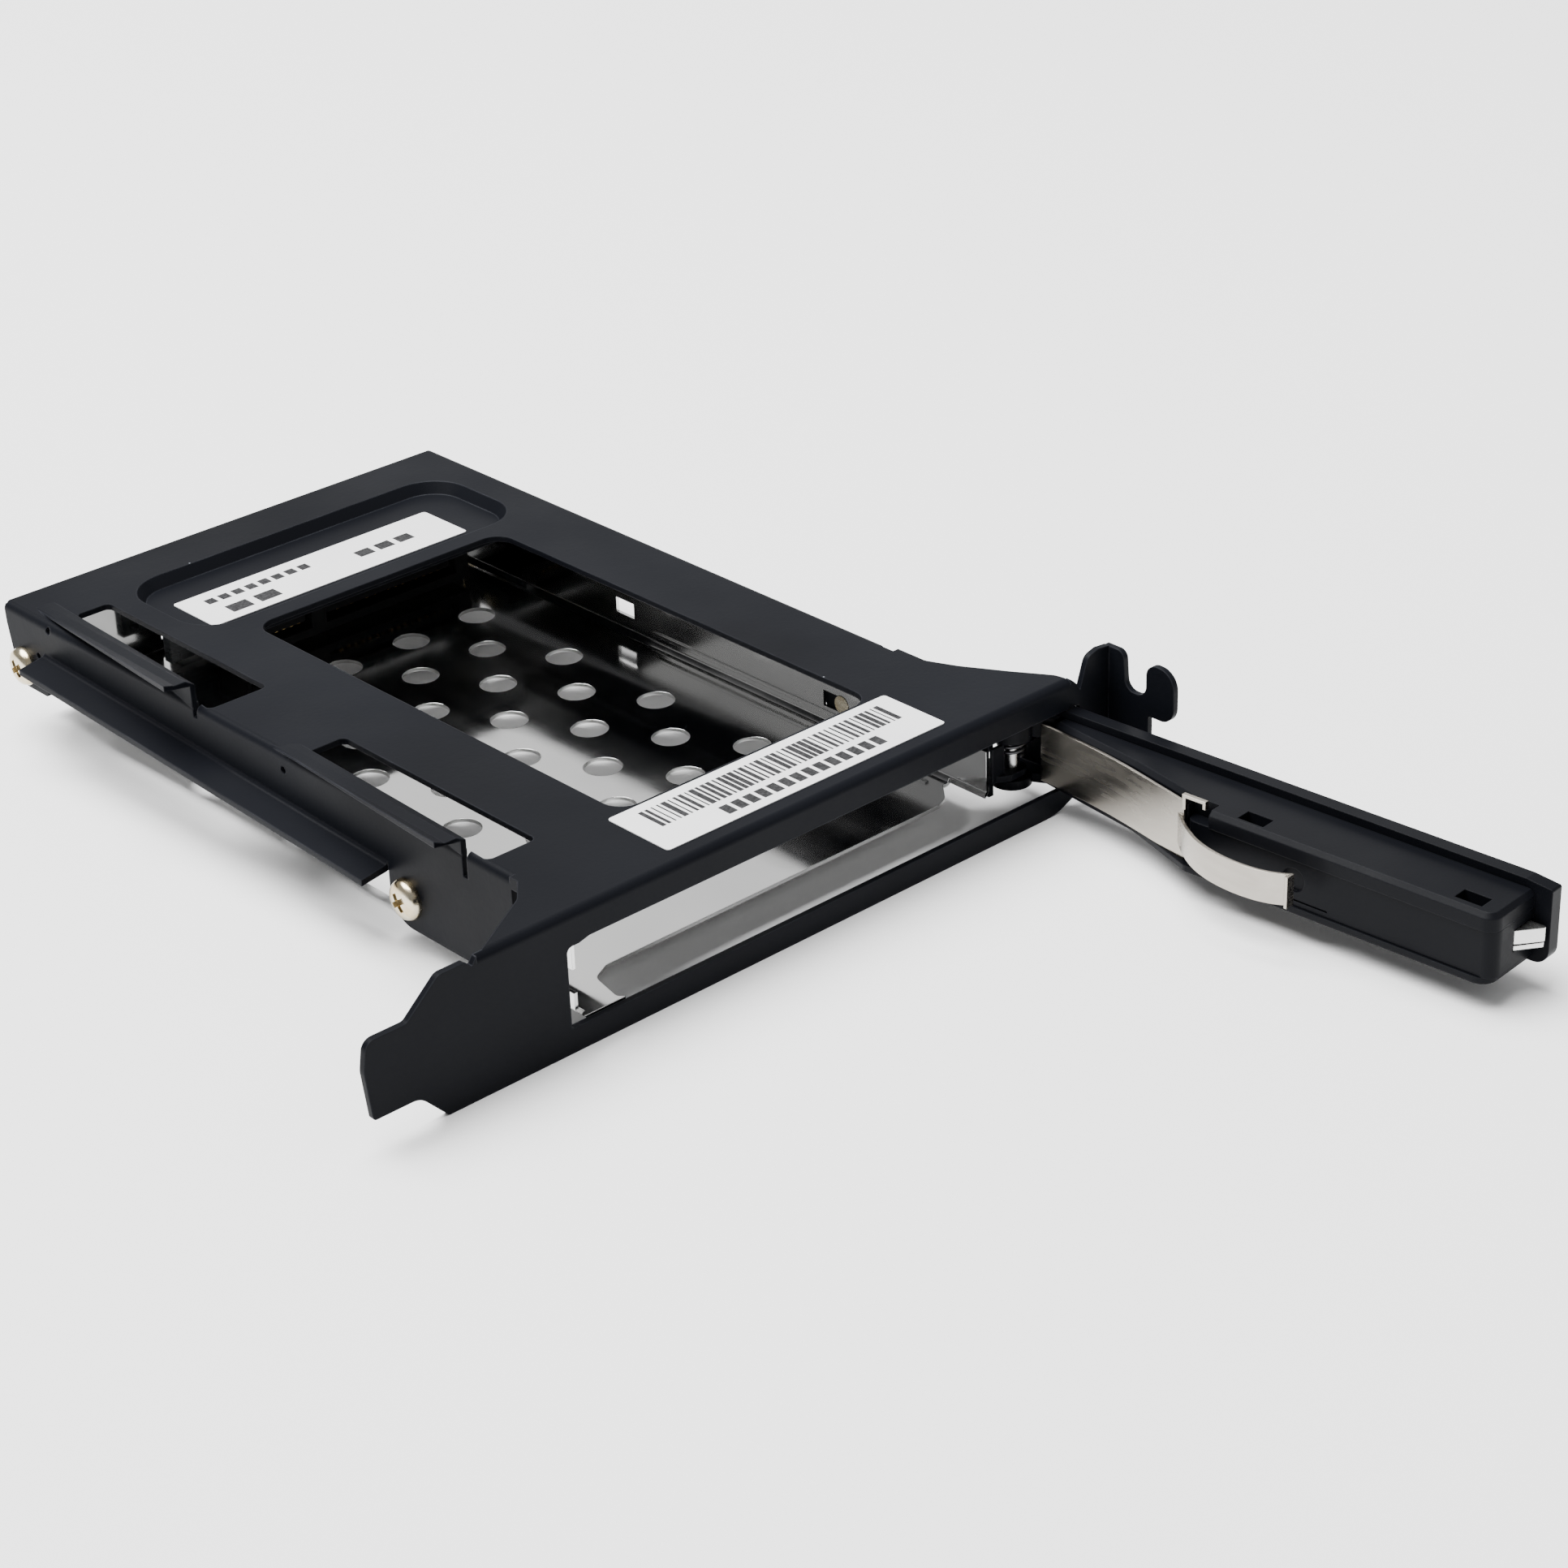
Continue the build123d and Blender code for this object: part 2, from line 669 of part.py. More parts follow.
def door_block():
    """Latch housing between the flange and the cap, with a pocket for the latch."""
    low = door_bottom + flange_thickness
    inner = door_depth - 0.3
    outline = rounded_face([
        (10.0, depth(door_plate), 0),
        (block_end, depth(door_plate), 0),
        (block_end, depth(inner), 1.6),
        (block_root, depth(inner), 1.2),
        (block_root, depth(8.6), 0),
        (scoop[1][0], depth(scoop[1][1]), 12.0),
        (10.0, depth(4.1), 0),
    ])
    housing = flat(outline, low, cap_floor)
    pocket = block((latch_root - 6.0, depth(latch_inner + latch_play), latch_bottom - latch_play),
                   (door_length + 1, depth(door_plate) + 1, latch_top + latch_play))
    spot = Pos(block_root + 16.0, depth(inner), -10.4) * Rot(90, 0, 0) * Cylinder(1.6, 1.0)
    groove = block((block_root + 11.0, depth(inner + 1), -13.2),
                   (block_root + 21.0, depth(inner - 0.25), -12.95))
    return housing - pocket - spot - groove


def door_cap():
    """Top cover of the latch housing with its catch windows."""
    outline = rounded_face([
        (5.0, depth(door_plate), 0),
        (block_end, depth(door_plate), 0),
        (block_end, depth(door_depth), 1.8),
        (block_root - 0.2, depth(door_depth), 1.2),
        (block_root - 0.2, depth(8.6), 0),
        (scoop[1][0], depth(scoop[1][1]), 12.0),
        (scoop[0][0], depth(scoop[0][1]), 0),
    ])
    cap = flat(outline, cap_floor, cap_top)
    rim = cap.edges().group_by(Axis.Z)[-1]
    front = [e for e in rim if e.center().Y < depth(door_plate) - 0.1]
    cap = chamfer(front, 0.6)
    for start, inward in ((block_root - 0.1, 8.2), (block_root + 7.2, 7.2), (block_end - 6.35, 6.8)):
        cap -= block((start, depth(inward + 2.2), cap_floor - 1), (start + 3.7, depth(inward), cap_top + 1))
    return cap


def strip_along(points, thickness, low, high):
    """Thin strip that follows a smooth line in plan."""
    line = Spline(*points)
    start = Plane(origin=line @ 0, x_dir=Vector(0, 0, 1), z_dir=line % 0)
    section = start * Rectangle(high - low, thickness)
    return Pos(0, 0, (high + low) / 2) * sweep(section, path=line)


def leaf_spring():
    """Spring strip from the hinge to the cap with a bowed tongue."""
    base = [(3.6, depth(4.05)), (8.0, depth(4.5)), (16.1, depth(5.8)),
            (23.4, depth(7.5)), (30.2, depth(9.25))]
    strip = strip_along(base, spring_sheet, spring_bottom, spring_top)
    bow = [(29.2, depth(9.0)), (31.4, depth(11.0)), (35.0, depth(13.3)), (38.8, depth(14.5)),
           (43.0, depth(14.8)), (46.2, depth(14.3)), (48.8, depth(13.0))]
    tongue = strip_along(bow, spring_sheet, tongue_bottom, tongue_top)
    curl = block((48.6, depth(14.2), tongue_bottom), (49.0, depth(12.8), tongue_top))
    riser = block((29.9, depth(9.5), spring_top - 1.0), (30.4, depth(8.9), cap_top + 0.5))
    hook = block((29.9, depth(9.5), cap_top + 0.1), (33.4, depth(8.9), cap_top + 0.5))
    drop = block((33.0, depth(9.5), cap_top - 0.6), (33.4, depth(8.9), cap_top + 0.5))
    return strip + tongue + curl + riser + hook + drop


def latch_tongue():
    """Bright sliding tongue with a slanted striking face."""
    outer = depth(latch_outer)
    tip = door_length
    upper = rounded_face([
        (latch_root, outer, 0),
        (tip, outer, 0.3),
        (tip - 0.1, depth(3.1), 0),
        (block_end, depth(latch_inner), 0),
        (latch_root, depth(latch_inner), 0),
    ])
    tongue = flat(upper, -10.8, latch_top)
    lower = rounded_face([
        (latch_root, outer, 0),
        (tip - 0.1, outer, 0.3),
        (tip - 0.2, depth(3.1), 0),
        (block_end, depth(latch_inner), 0),
        (latch_root, depth(latch_inner), 0),
    ])
    tongue += flat(lower, latch_bottom, -11.0)
    tongue += block((latch_root, depth(latch_inner), -11.1), (latch_root + 6, outer, -10.7))
    return tongue


def latch_grip():
    """Black thumb slide that shows on the door's outer face."""
    low = -11.3
    high = -9.1
    stem = block((latch_root, depth(latch_outer), low), (latch_root + 5.0, door_face_offset + 0.2, high))
    pad = block((latch_root - 2.0, door_face_offset + 0.15, -12.6),
                (latch_root + 7.0, door_face_offset + 1.0, -7.0))
    grip = stem + pad
    for step in range(4):
        x = latch_root + 0.2 + step * 1.3
        grip -= block((x, door_face_offset + 0.7, -12.0), (x + 0.5, door_face_offset + 2, -7.6))
    return grip


pieces["cover_bracket"] = cover_bracket()
pieces["drive_tray"] = drive_tray()
pieces["cover_screws"] = cover_screws()
pieces["front_label"] = label(45.6, 11.0, (body_centre + 3.05, 8.35), 0)
pieces["rear_label"] = label(42.9, 9.8, (body_centre + 2.05, body_depth - 19.6), -dish_depth)
pieces["circuit_board"] = circuit_board()
pieces["board_screws"] = board_screws()
pieces["board_standoffs"] = standoffs()
pieces["drive_plug"] = drive_plug()
pieces["drive_contacts"] = drive_contacts()
pieces["power_plug"] = rear_plug(plug_centre_x - 11.5, 23.0)
pieces["power_contacts"] = rear_contacts(plug_centre_x - 11.5, 15)
pieces["data_plug"] = rear_plug(plug_centre_x + 10.0, 14.0)
pieces["data_contacts"] = rear_contacts(plug_centre_x + 10.0, 7)
pieces["hinge_mount"] = hinge_mount()
pieces["hinge_pin"] = hinge_pin()
pieces["hinge_spring"] = door_place(hinge_spring())
pieces["door_shell"] = door_place(door_shell())
pieces["door_block"] = door_place(door_block())
pieces["door_cap"] = door_place(door_cap())
pieces["leaf_spring"] = door_place(leaf_spring())
pieces["latch_tongue"] = door_place(latch_tongue())
pieces["latch_grip"] = door_place(latch_grip())

boxes = [solid.bounding_box() for solid in pieces.values()]
extent = boxes[0]
for box in boxes[1:]:
    extent = extent.add(box)
origin = Vector((extent.min.X + extent.max.X) / 2, (extent.min.Y + extent.max.Y) / 2, extent.min.Z)
print("origin in bracket frame", origin, "size", extent.size)
for name, solid in pieces.items():
    placed = Location(-origin) * solid
    placed.label = name
    export_step(placed, f"parts/{name}.step")
    print(name, round(solid.volume, 1), len(solid.solids()), solid.is_valid)
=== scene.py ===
"""Expansion slot hard drive rack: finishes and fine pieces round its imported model."""

import logging
import math
from dataclasses import dataclass, field, replace
from enum import Enum
from typing import Any, Sequence

import bmesh
import bpy
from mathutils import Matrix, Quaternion, Vector


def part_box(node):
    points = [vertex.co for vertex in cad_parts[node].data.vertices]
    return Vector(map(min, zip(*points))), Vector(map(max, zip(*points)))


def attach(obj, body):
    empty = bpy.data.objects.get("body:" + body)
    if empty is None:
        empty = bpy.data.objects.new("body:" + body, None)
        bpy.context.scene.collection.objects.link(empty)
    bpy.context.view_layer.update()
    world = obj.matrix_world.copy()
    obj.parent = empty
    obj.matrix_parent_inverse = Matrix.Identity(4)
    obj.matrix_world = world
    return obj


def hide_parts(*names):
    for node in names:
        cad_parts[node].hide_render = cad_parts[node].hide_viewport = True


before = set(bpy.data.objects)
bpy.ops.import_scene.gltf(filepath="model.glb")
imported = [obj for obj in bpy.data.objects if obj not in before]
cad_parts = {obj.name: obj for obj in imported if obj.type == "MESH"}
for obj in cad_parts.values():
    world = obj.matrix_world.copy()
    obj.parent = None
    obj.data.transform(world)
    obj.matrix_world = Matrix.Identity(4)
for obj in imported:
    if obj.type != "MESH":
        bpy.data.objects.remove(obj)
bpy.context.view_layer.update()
LOG = logging.getLogger("rack")
MM = 0.001

Pair = tuple[float, float]
Triple = tuple[float, float, float]
Colour = tuple[float, float, float]
Socket = bpy.types.NodeSocket

# Values that nearly all of a noise lies between.
MIDDLE: Pair = (0.3, 0.7)


class Body(Enum):
    """Moving bodies of the rack."""

    CHASSIS = "chassis"
    DOOR = "door"
    LATCH = "latch"


@dataclass(frozen=True)
class BracketFrame:
    """Millimetre frame of the bracket: its tongue end, front face and the cover's top.

    Attributes:
        tab_depth: Distance that the screw tab stands out in front of the bracket's face.
        height: Height of the cover's top over the cover's lowest point.
    """

    tab_depth: float = 11.1
    height: float = 18.4

    def at(self, x: float, y: float, z: float) -> Vector:
        """Turn X along the bracket, Y into the case and Z over the cover's top into metres."""
        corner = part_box("cover_bracket")[0]
        return corner + Vector((x, y + self.tab_depth, z + self.height)) * MM


@dataclass(frozen=True)
class DoorFrame:
    """Millimetre frame of the open door, from the hinge pin along the door.

    Attributes:
        pin: The pin's X and Y in bracket millimetres.
        angle: Direction of the open door from +X, in radians.
        face: Distance from the pin out to the door's outer face.
    """

    pin: Pair = (107.0, 5.5)
    angle: float = math.radians(-85.28)
    face: float = 5.83

    def at(self, along: float, inward: float, z: float) -> Vector:
        """Turn door millimetres into scene metres.

        Args:
            along: Distance from the pin towards the free end.
            inward: Distance in from the outer face.
            z: Height over the cover's top.

        Returns:
            The point in metres.
        """
        side = self.face - inward
        x = self.pin[0] + along * math.cos(self.angle) - side * math.sin(self.angle)
        y = self.pin[1] + along * math.sin(self.angle) + side * math.cos(self.angle)
        return BRACKET.at(x, y, z)


BRACKET = BracketFrame()
DOOR = DoorFrame()


class Graph:
    """Short way to add and join the nodes of a shader or geometry tree."""

    def __init__(self, tree: bpy.types.NodeTree) -> None:
        """Keep the tree that the nodes go into."""
        self.tree = tree

    def add(
        self, kind: str, feeds: dict[Any, Any] | None = None, **settings: Any,
    ) -> bpy.types.Node:
        """Add a node.

        Args:
            kind: The node's type name.
            feeds: Input name or index to a constant or to another node's socket.
            settings: Attributes to set on the node.

        Returns:
            The new node.
        """
        node = self.tree.nodes.new(kind)
        for key, value in settings.items():
            setattr(node, key, value)
        for key, value in (feeds or {}).items():
            self.feed(node.inputs[key], value)
        return node

    def feed(self, socket: Socket, value: Any) -> None:
        """Link a socket to another one, or set its constant.

        Args:
            socket: The input that is fed.
            value: An output socket, or a constant.
        """
        if isinstance(value, bpy.types.NodeSocket):
            self.tree.links.new(value, socket)
        else:
            socket.default_value = value

    def maths(self, operation: str, *values: Any) -> Socket:
        """Add a Math node and return its value."""
        node = self.add("ShaderNodeMath", dict(enumerate(values)), operation=operation)
        return node.outputs[0]

    def vector_maths(self, operation: str, *values: Any) -> bpy.types.Node:
        """Add a Vector Math node and return it."""
        return self.add("ShaderNodeVectorMath", dict(enumerate(values)), operation=operation)

    def vector(self, x: Any = 0.0, y: Any = 0.0, z: Any = 0.0) -> Socket:
        """Join three numbers or sockets into a vector."""
        return self.add("ShaderNodeCombineXYZ", {0: x, 1: y, 2: z}).outputs[0]

    def span(
        self, value: Any, low: float, high: float, to_low: float = 0.0, to_high: float = 1.0,
    ) -> Socket:
        """Map a value from its low and high onto the two results, clamped between them."""
        node = self.add("ShaderNodeMapRange", {0: value, 1: low, 2: high, 3: to_low, 4: to_high})
        return node.outputs[0]


@dataclass(frozen=True)
class Grain:
    """Noise that a finish is mottled or bumped with.

    Attributes:
        scale: Features a metre.
        detail: Octaves of finer noise.
        stretch: Scale along X, Y and Z ahead of the noise, where a small number draws it out.
        turn: Turn of the stretch about Z, in radians.
        strength: Strength of its bump.
        depth: Height of its bump, in metres.
    """

    scale: float
    detail: float = 2.0
    stretch: Triple | None = None
    turn: float = 0.0
    strength: float = 0.0
    depth: float = 0.0


@dataclass(frozen=True)
class Specks:
    """Sparse round dots of dust or pitting.

    Attributes:
        scale: Cells a metre.
        size: A dot's largest radius as a share of a cell.
        share: Share of the cells that hold a dot.
        colour: The dots' tone.
    """

    scale: float
    size: float
    share: float
    colour: Colour


class Shader(Graph):
    """Graph of one material, with the patterns that the finishes share.

    Attributes:
        BEVEL_SAMPLES: Samples of the rounded normal.
        EDGE_LIKENESS: Likeness of the rounded and the flat normal off an edge and on one.
    """

    BEVEL_SAMPLES = 4
    EDGE_LIKENESS: Pair = (0.985, 0.90)

    def __init__(self, name: str) -> None:
        """Make an empty material with its main shader.

        Args:
            name: The material's name.
        """
        self.material = bpy.data.materials.new(name)
        self.material.use_nodes = True
        super().__init__(self.material.node_tree)
        self.main = self.tree.nodes["Principled BSDF"]
        self.place = self.add("ShaderNodeTexCoord").outputs["Object"]

    def noise(self, grain: Grain) -> Socket:
        """Draw a grain in object coordinates.

        Args:
            grain: The noise's sizes.

        Returns:
            The noise, from 0 to 1.
        """
        where = self.place
        if grain.stretch is not None:
            feeds = {"Vector": where, "Scale": grain.stretch, "Rotation": (0.0, 0.0, grain.turn)}
            where = self.add("ShaderNodeMapping", feeds).outputs[0]
        feeds = {"Vector": where, "Scale": grain.scale, "Detail": grain.detail}
        return self.add("ShaderNodeTexNoise", feeds).outputs[0]

    def blend(self, share: Any, first: Any, second: Any) -> Socket:
        """Mix two colours.

        Args:
            share: How much of the second colour there is, from 0 to 1.
            first: The first colour or its socket.
            second: The second colour or its socket.

        Returns:
            The mixed colour.
        """
        node = self.add("ShaderNodeMix", data_type="RGBA")
        for name, value in (("Factor_Float", share), ("A_Color", first), ("B_Color", second)):
            socket = next(s for s in node.inputs if s.identifier == name)
            self.feed(socket, (*value, 1.0) if isinstance(value, tuple) else value)
        return next(s for s in node.outputs if s.identifier == "Result_Color")

    def mottle(self, grain: Grain, edges: Pair, first: Any, second: Any) -> Socket:
        """Two tones mixed by a grain, the first one below its edges."""
        return self.blend(self.span(self.noise(grain), *edges), first, second)

    def speckle(self, tone: Any, specks: Specks) -> Socket:
        """Scatter sparse round dots over a tone.

        Args:
            tone: The tone between the dots.
            specks: The dots' sizes and tone.

        Returns:
            The tone with its dots.
        """
        cells = self.add("ShaderNodeTexVoronoi", {"Vector": self.place, "Scale": specks.scale})
        parts = self.add("ShaderNodeSeparateColor", {0: cells.outputs["Color"]})
        chosen = self.maths("LESS_THAN", parts.outputs[0], specks.share)
        radius = self.maths("MULTIPLY", parts.outputs[1], specks.size)
        inside = self.maths("LESS_THAN", cells.outputs["Distance"], radius)
        return self.blend(self.maths("MULTIPLY", chosen, inside), tone, specks.colour)

    def soft_edge(self, radius: float) -> Socket:
        """Normal that is rounded along the edges."""
        bevel = self.add("ShaderNodeBevel", {"Radius": radius}, samples=self.BEVEL_SAMPLES)
        return bevel.outputs[0]

    def edge_mask(self, rounded: Socket) -> Socket:
        """Find the edges by how far the rounded normal leans.

        Args:
            rounded: The rounded normal.

        Returns:
            A mask that is 1 along the edges.
        """
        flat = self.add("ShaderNodeNewGeometry").outputs["Normal"]
        likeness = self.vector_maths("DOT_PRODUCT", rounded, flat).outputs["Value"]
        return self.span(likeness, *self.EDGE_LIKENESS)

    def bump(self, height: Any, grain: Grain, normal: Socket | None = None) -> Socket:
        """Raise the surface by a height.

        Args:
            height: The height's socket, from 0 to 1.
            grain: Grain whose strength and depth are used.
            normal: The normal to start from, or none for the surface's own.

        Returns:
            The bumped normal.
        """
        feeds = {"Height": height, "Strength": grain.strength, "Distance": grain.depth}
        if normal is not None:
            feeds["Normal"] = normal
        return self.add("ShaderNodeBump", feeds).outputs[0]

    def finish(self, **feeds: Any) -> bpy.types.Material:
        """Feed the main shader's sockets.

        Args:
            feeds: Socket names, with underscores for spaces, to constants or sockets.

        Returns:
            The finished material.
        """
        for key, value in feeds.items():
            value = (*value, 1.0) if key == "Base_Color" and isinstance(value, tuple) else value
            self.feed(self.main.inputs[key.replace("_", " ")], value)
        return self.material


@dataclass(frozen=True)
class PowderCoat:
    """Satin black powder coat with orange peel, dust and edges lightened by a worn thin coat and a
    painted highlight.

    Attributes:
        colour: Tone of most of the coat.
        lit: Tone of its paler patches.
        edge: Tone along the edges, for the worn thin coat there and a painted highlight on the
            rims.
        dust: The dust's dots.
        roughness: Lowest and highest roughness.
        specular: Specular level.
        rounding: Radius of the soft edges, in metres.
        patches: Grain that mixes the two tones.
        edge_wear_and_highlight_breakup: Grain that breaks up the pale edges of worn coat and
            painted highlight.
        edge_wear_and_highlight: Least and most of the edge tone, worn coat and painted highlight
            together.
        haze: Grain of the roughness.
        peel: Orange peel.
        wave: Slower waves under the peel.
    """

    colour: Colour = (0.0032, 0.0036, 0.0052)
    lit: Colour = (0.0052, 0.0058, 0.0080)
    edge: Colour = (0.036, 0.038, 0.045)
    dust: Specks = Specks(170.0, 0.03, 0.35, (0.16, 0.17, 0.19))
    roughness: Pair = (0.36, 0.46)
    specular: float = 0.05
    rounding: float = 0.00025
    patches: Grain = Grain(22.0)
    edge_wear_and_highlight_breakup: Grain = Grain(160.0)
    edge_wear_and_highlight: Pair = (0.25, 0.9)
    haze: Grain = Grain(60.0)
    peel: Grain = Grain(1700.0, strength=0.16, depth=0.00005)
    wave: Grain = Grain(420.0, 1.0, strength=0.10, depth=0.00012)

    def material(self, name: str) -> bpy.types.Material:
        """Build the material.

        Args:
            name: The material's name.

        Returns:
            The material.
        """
        s = Shader(name)
        rounded = s.soft_edge(self.rounding)
        # Pale edges: partly a worn thin coat, partly a painted highlight along the rims.
        edge_wear_and_highlight_breakup = s.span(s.noise(self.edge_wear_and_highlight_breakup), *MIDDLE, *self.edge_wear_and_highlight)
        edge_wear_and_highlight = s.maths("MULTIPLY", s.edge_mask(rounded), edge_wear_and_highlight_breakup)
        tone = s.mottle(self.patches, (0.35, 0.65), self.colour, self.lit)
        tone = s.speckle(s.blend(edge_wear_and_highlight, tone, self.edge), self.dust)
        waved = s.bump(s.noise(self.wave), self.wave, rounded)
        return s.finish(
            Base_Color=tone,
            Roughness=s.span(s.noise(self.haze), *MIDDLE, *self.roughness),
            Normal=s.bump(s.noise(self.peel), self.peel, waved),
            Specular_IOR_Level=self.specular,
        )


@dataclass(frozen=True)
class PlatedSteel:
    """Bright plated sheet with soft waves, rolling lines and smudges.

    Attributes:
        colour: Tone of the clean plating.
        shade: Tone of the dull patches.
        smooth: Roughness of the clean plating.
        rough: Roughness of the smudges.
        wave: Height of the sheet's slow waves, in metres.
        pits: The plating's small pits.
        rounding: Radius of the soft edges, in metres.
        patches: Grain that mixes the two tones.
        smudges: Grain of the roughness.
        rolling: Fine lines along Y.
        dullness: Least and most roughness that the lines add.
        buckle: Grain of the slow waves.
    """

    colour: Colour = (0.70, 0.70, 0.69)
    shade: Colour = (0.60, 0.60, 0.60)
    smooth: float = 0.05
    rough: float = 0.15
    wave: float = 0.00010
    pits: Specks = Specks(240.0, 0.04, 0.3, (0.33, 0.33, 0.33))
    rounding: float = 0.00015
    patches: Grain = Grain(30.0, 3.0)
    smudges: Grain = Grain(55.0, 4.0)
    rolling: Grain = Grain(260.0, 3.0, (1.0, 0.05, 1.0), strength=0.12, depth=0.00002)
    dullness: Pair = (-0.02, 0.04)
    buckle: Grain = Grain(34.0, 1.0, strength=0.5)

    def material(self, name: str) -> bpy.types.Material:
        """Build the material.

        Args:
            name: The material's name.

        Returns:
            The material.
        """
        s = Shader(name)
        lines = s.noise(self.rolling)
        tone = s.mottle(self.patches, MIDDLE, self.colour, self.shade)
        smudge = s.span(s.noise(self.smudges), 0.35, 0.7, self.smooth, self.rough)
        buckle = replace(self.buckle, depth=self.wave)
        waved = s.bump(s.noise(buckle), buckle, s.soft_edge(self.rounding))
        return s.finish(
            Base_Color=s.speckle(tone, self.pits),
            Metallic=1.0,
            Roughness=s.maths("ADD", smudge, s.span(lines, *MIDDLE, *self.dullness)),
            Normal=s.bump(lines, self.rolling, waved),
        )


@dataclass(frozen=True)
class BrushedStrip:
    """Warm stainless strip with faint brush lines along it and soft blotches.

    Attributes:
        colour: Tone of the bright lines.
        shade: Tone of the dark lines.
        smooth: Lowest roughness.
        rough: Highest roughness.
        rounding: Radius of the soft edges, in metres.
        brushing: Fine lines along Y.
        line_share: How much the lines change the tone.
        blotches: Grain of the blotches.
        blotch_share: How much the blotches change the tone.
        dullness: Most roughness that the lines add.
    """

    colour: Colour = (0.52, 0.485, 0.43)
    shade: Colour = (0.42, 0.39, 0.345)
    smooth: float = 0.16
    rough: float = 0.28
    rounding: float = 0.00012
    brushing: Grain = Grain(1500.0, 3.0, (1.0, 0.03, 1.0), strength=0.05, depth=0.00001)
    line_share: float = 0.4
    blotches: Grain = Grain(90.0, 3.0)
    blotch_share: float = 0.6
    dullness: float = 0.06

    def material(self, name: str) -> bpy.types.Material:
        """Build the material.

        Args:
            name: The material's name.

        Returns:
            The material.
        """
        s = Shader(name)
        lines = s.noise(self.brushing)
        blotch = s.noise(self.blotches)
        blotched = s.span(blotch, 0.35, 0.65, 0.0, self.blotch_share)
        share = s.maths("MULTIPLY_ADD", s.span(lines, *MIDDLE), self.line_share, blotched)
        rough = s.span(blotch, *MIDDLE, self.smooth, self.rough)
        return s.finish(
            Base_Color=s.blend(share, self.shade, self.colour),
            Metallic=1.0,
            Roughness=s.maths("ADD", rough, s.span(lines, *MIDDLE, 0.0, self.dullness)),
            Normal=s.bump(lines, self.brushing, s.soft_edge(self.rounding)),
        )


@dataclass(frozen=True)
class MouldedPlastic:
    """Satin moulded plastic with a spark-eroded grain and a painted highlight along its edges.

    Attributes:
        colour: Tone of most of the plastic.
        lit: Tone of its paler patches.
        smooth: Lowest roughness.
        rough: Highest roughness.
        grain: Features a metre of the spark-eroded grain.
        edge: Tone of the painted highlight along the edges.
        edge_highlight_share: Most of the painted edge highlight.
        dust: The dust's dots.
        specular: Specular level.
        rounding: Radius of the soft edges, in metres.
        patches: Grain that mixes the two tones.
        haze: Grain of the roughness.
    """

    colour: Colour = (0.0030, 0.0033, 0.0046)
    lit: Colour = (0.0048, 0.0052, 0.0068)
    smooth: float = 0.30
    rough: float = 0.42
    grain: float = 2600.0
    edge: Colour = (0.012, 0.013, 0.016)
    edge_highlight_share: float = 0.4
    dust: Specks = Specks(210.0, 0.022, 0.25, (0.16, 0.165, 0.175))
    specular: float = 0.06
    rounding: float = 0.0002
    patches: Grain = Grain(40.0)
    haze: Grain = Grain(75.0, 3.0)

    def material(self, name: str) -> bpy.types.Material:
        """Build the material.

        Args:
            name: The material's name.

        Returns:
            The material.
        """
        s = Shader(name)
        rounded = s.soft_edge(self.rounding)
        sparks = Grain(self.grain, 1.0, strength=0.14, depth=0.00004)
        tone = s.mottle(self.patches, (0.35, 0.65), self.colour, self.lit)
        # Painted highlight: the edges are lightened towards the edge tone.
        tone = s.blend(s.maths("MULTIPLY", s.edge_mask(rounded), self.edge_highlight_share), tone, self.edge)
        return s.finish(
            Base_Color=s.speckle(tone, self.dust),
            Roughness=s.span(s.noise(self.haze), *MIDDLE, self.smooth, self.rough),
            Normal=s.bump(s.noise(sparks), sparks, rounded),
            Specular_IOR_Level=self.specular,
        )


@dataclass(frozen=True)
class LabelFilm:
    """White printed film with a faint mottle.

    Attributes:
        colour: Tone of most of the film.
        shade: Tone of its duller patches.
        roughness: Lowest and highest roughness.
        patches: Grain that mixes the two tones.
        fibre: Grain of the surface.
    """

    colour: Colour = (0.80, 0.80, 0.80)
    shade: Colour = (0.74, 0.74, 0.75)
    roughness: Pair = (0.42, 0.52)
    patches: Grain = Grain(70.0, 3.0)
    fibre: Grain = Grain(2200.0, 3.0, strength=0.1, depth=0.00002)

    def material(self, name: str) -> bpy.types.Material:
        """Build the material.

        Args:
            name: The material's name.

        Returns:
            The material.
        """
        s = Shader(name)
        fibre = s.noise(self.fibre)
        return s.finish(
            Base_Color=s.mottle(self.patches, MIDDLE, self.colour, self.shade),
            Roughness=s.span(fibre, *MIDDLE, *self.roughness),
            Normal=s.bump(fibre, self.fibre),
        )


@dataclass(frozen=True)
class PrintInk:
    """Dark ink printed on a label.

    Attributes:
        colour: Tone of the full ink.
        thin: Tone where the ink is thin.
        roughness: Lowest and highest roughness.
        specular: Specular level.
        coverage: Grain that mixes the two tones.
        haze: Grain of the roughness.
    """

    colour: Colour = (0.012, 0.012, 0.013)
    thin: Colour = (0.045, 0.045, 0.047)
    roughness: Pair = (0.42, 0.55)
    specular: float = 0.15
    coverage: Grain = Grain(3000.0, 3.0)
    haze: Grain = Grain(900.0)

    def material(self, name: str) -> bpy.types.Material:
        """Build the material.

        Args:
            name: The material's name.

        Returns:
            The material.
        """
        s = Shader(name)
        return s.finish(
            Base_Color=s.mottle(self.coverage, (0.4, 0.75), self.colour, self.thin),
            Roughness=s.span(s.noise(self.haze), *MIDDLE, *self.roughness),
            Specular_IOR_Level=self.specular,
        )


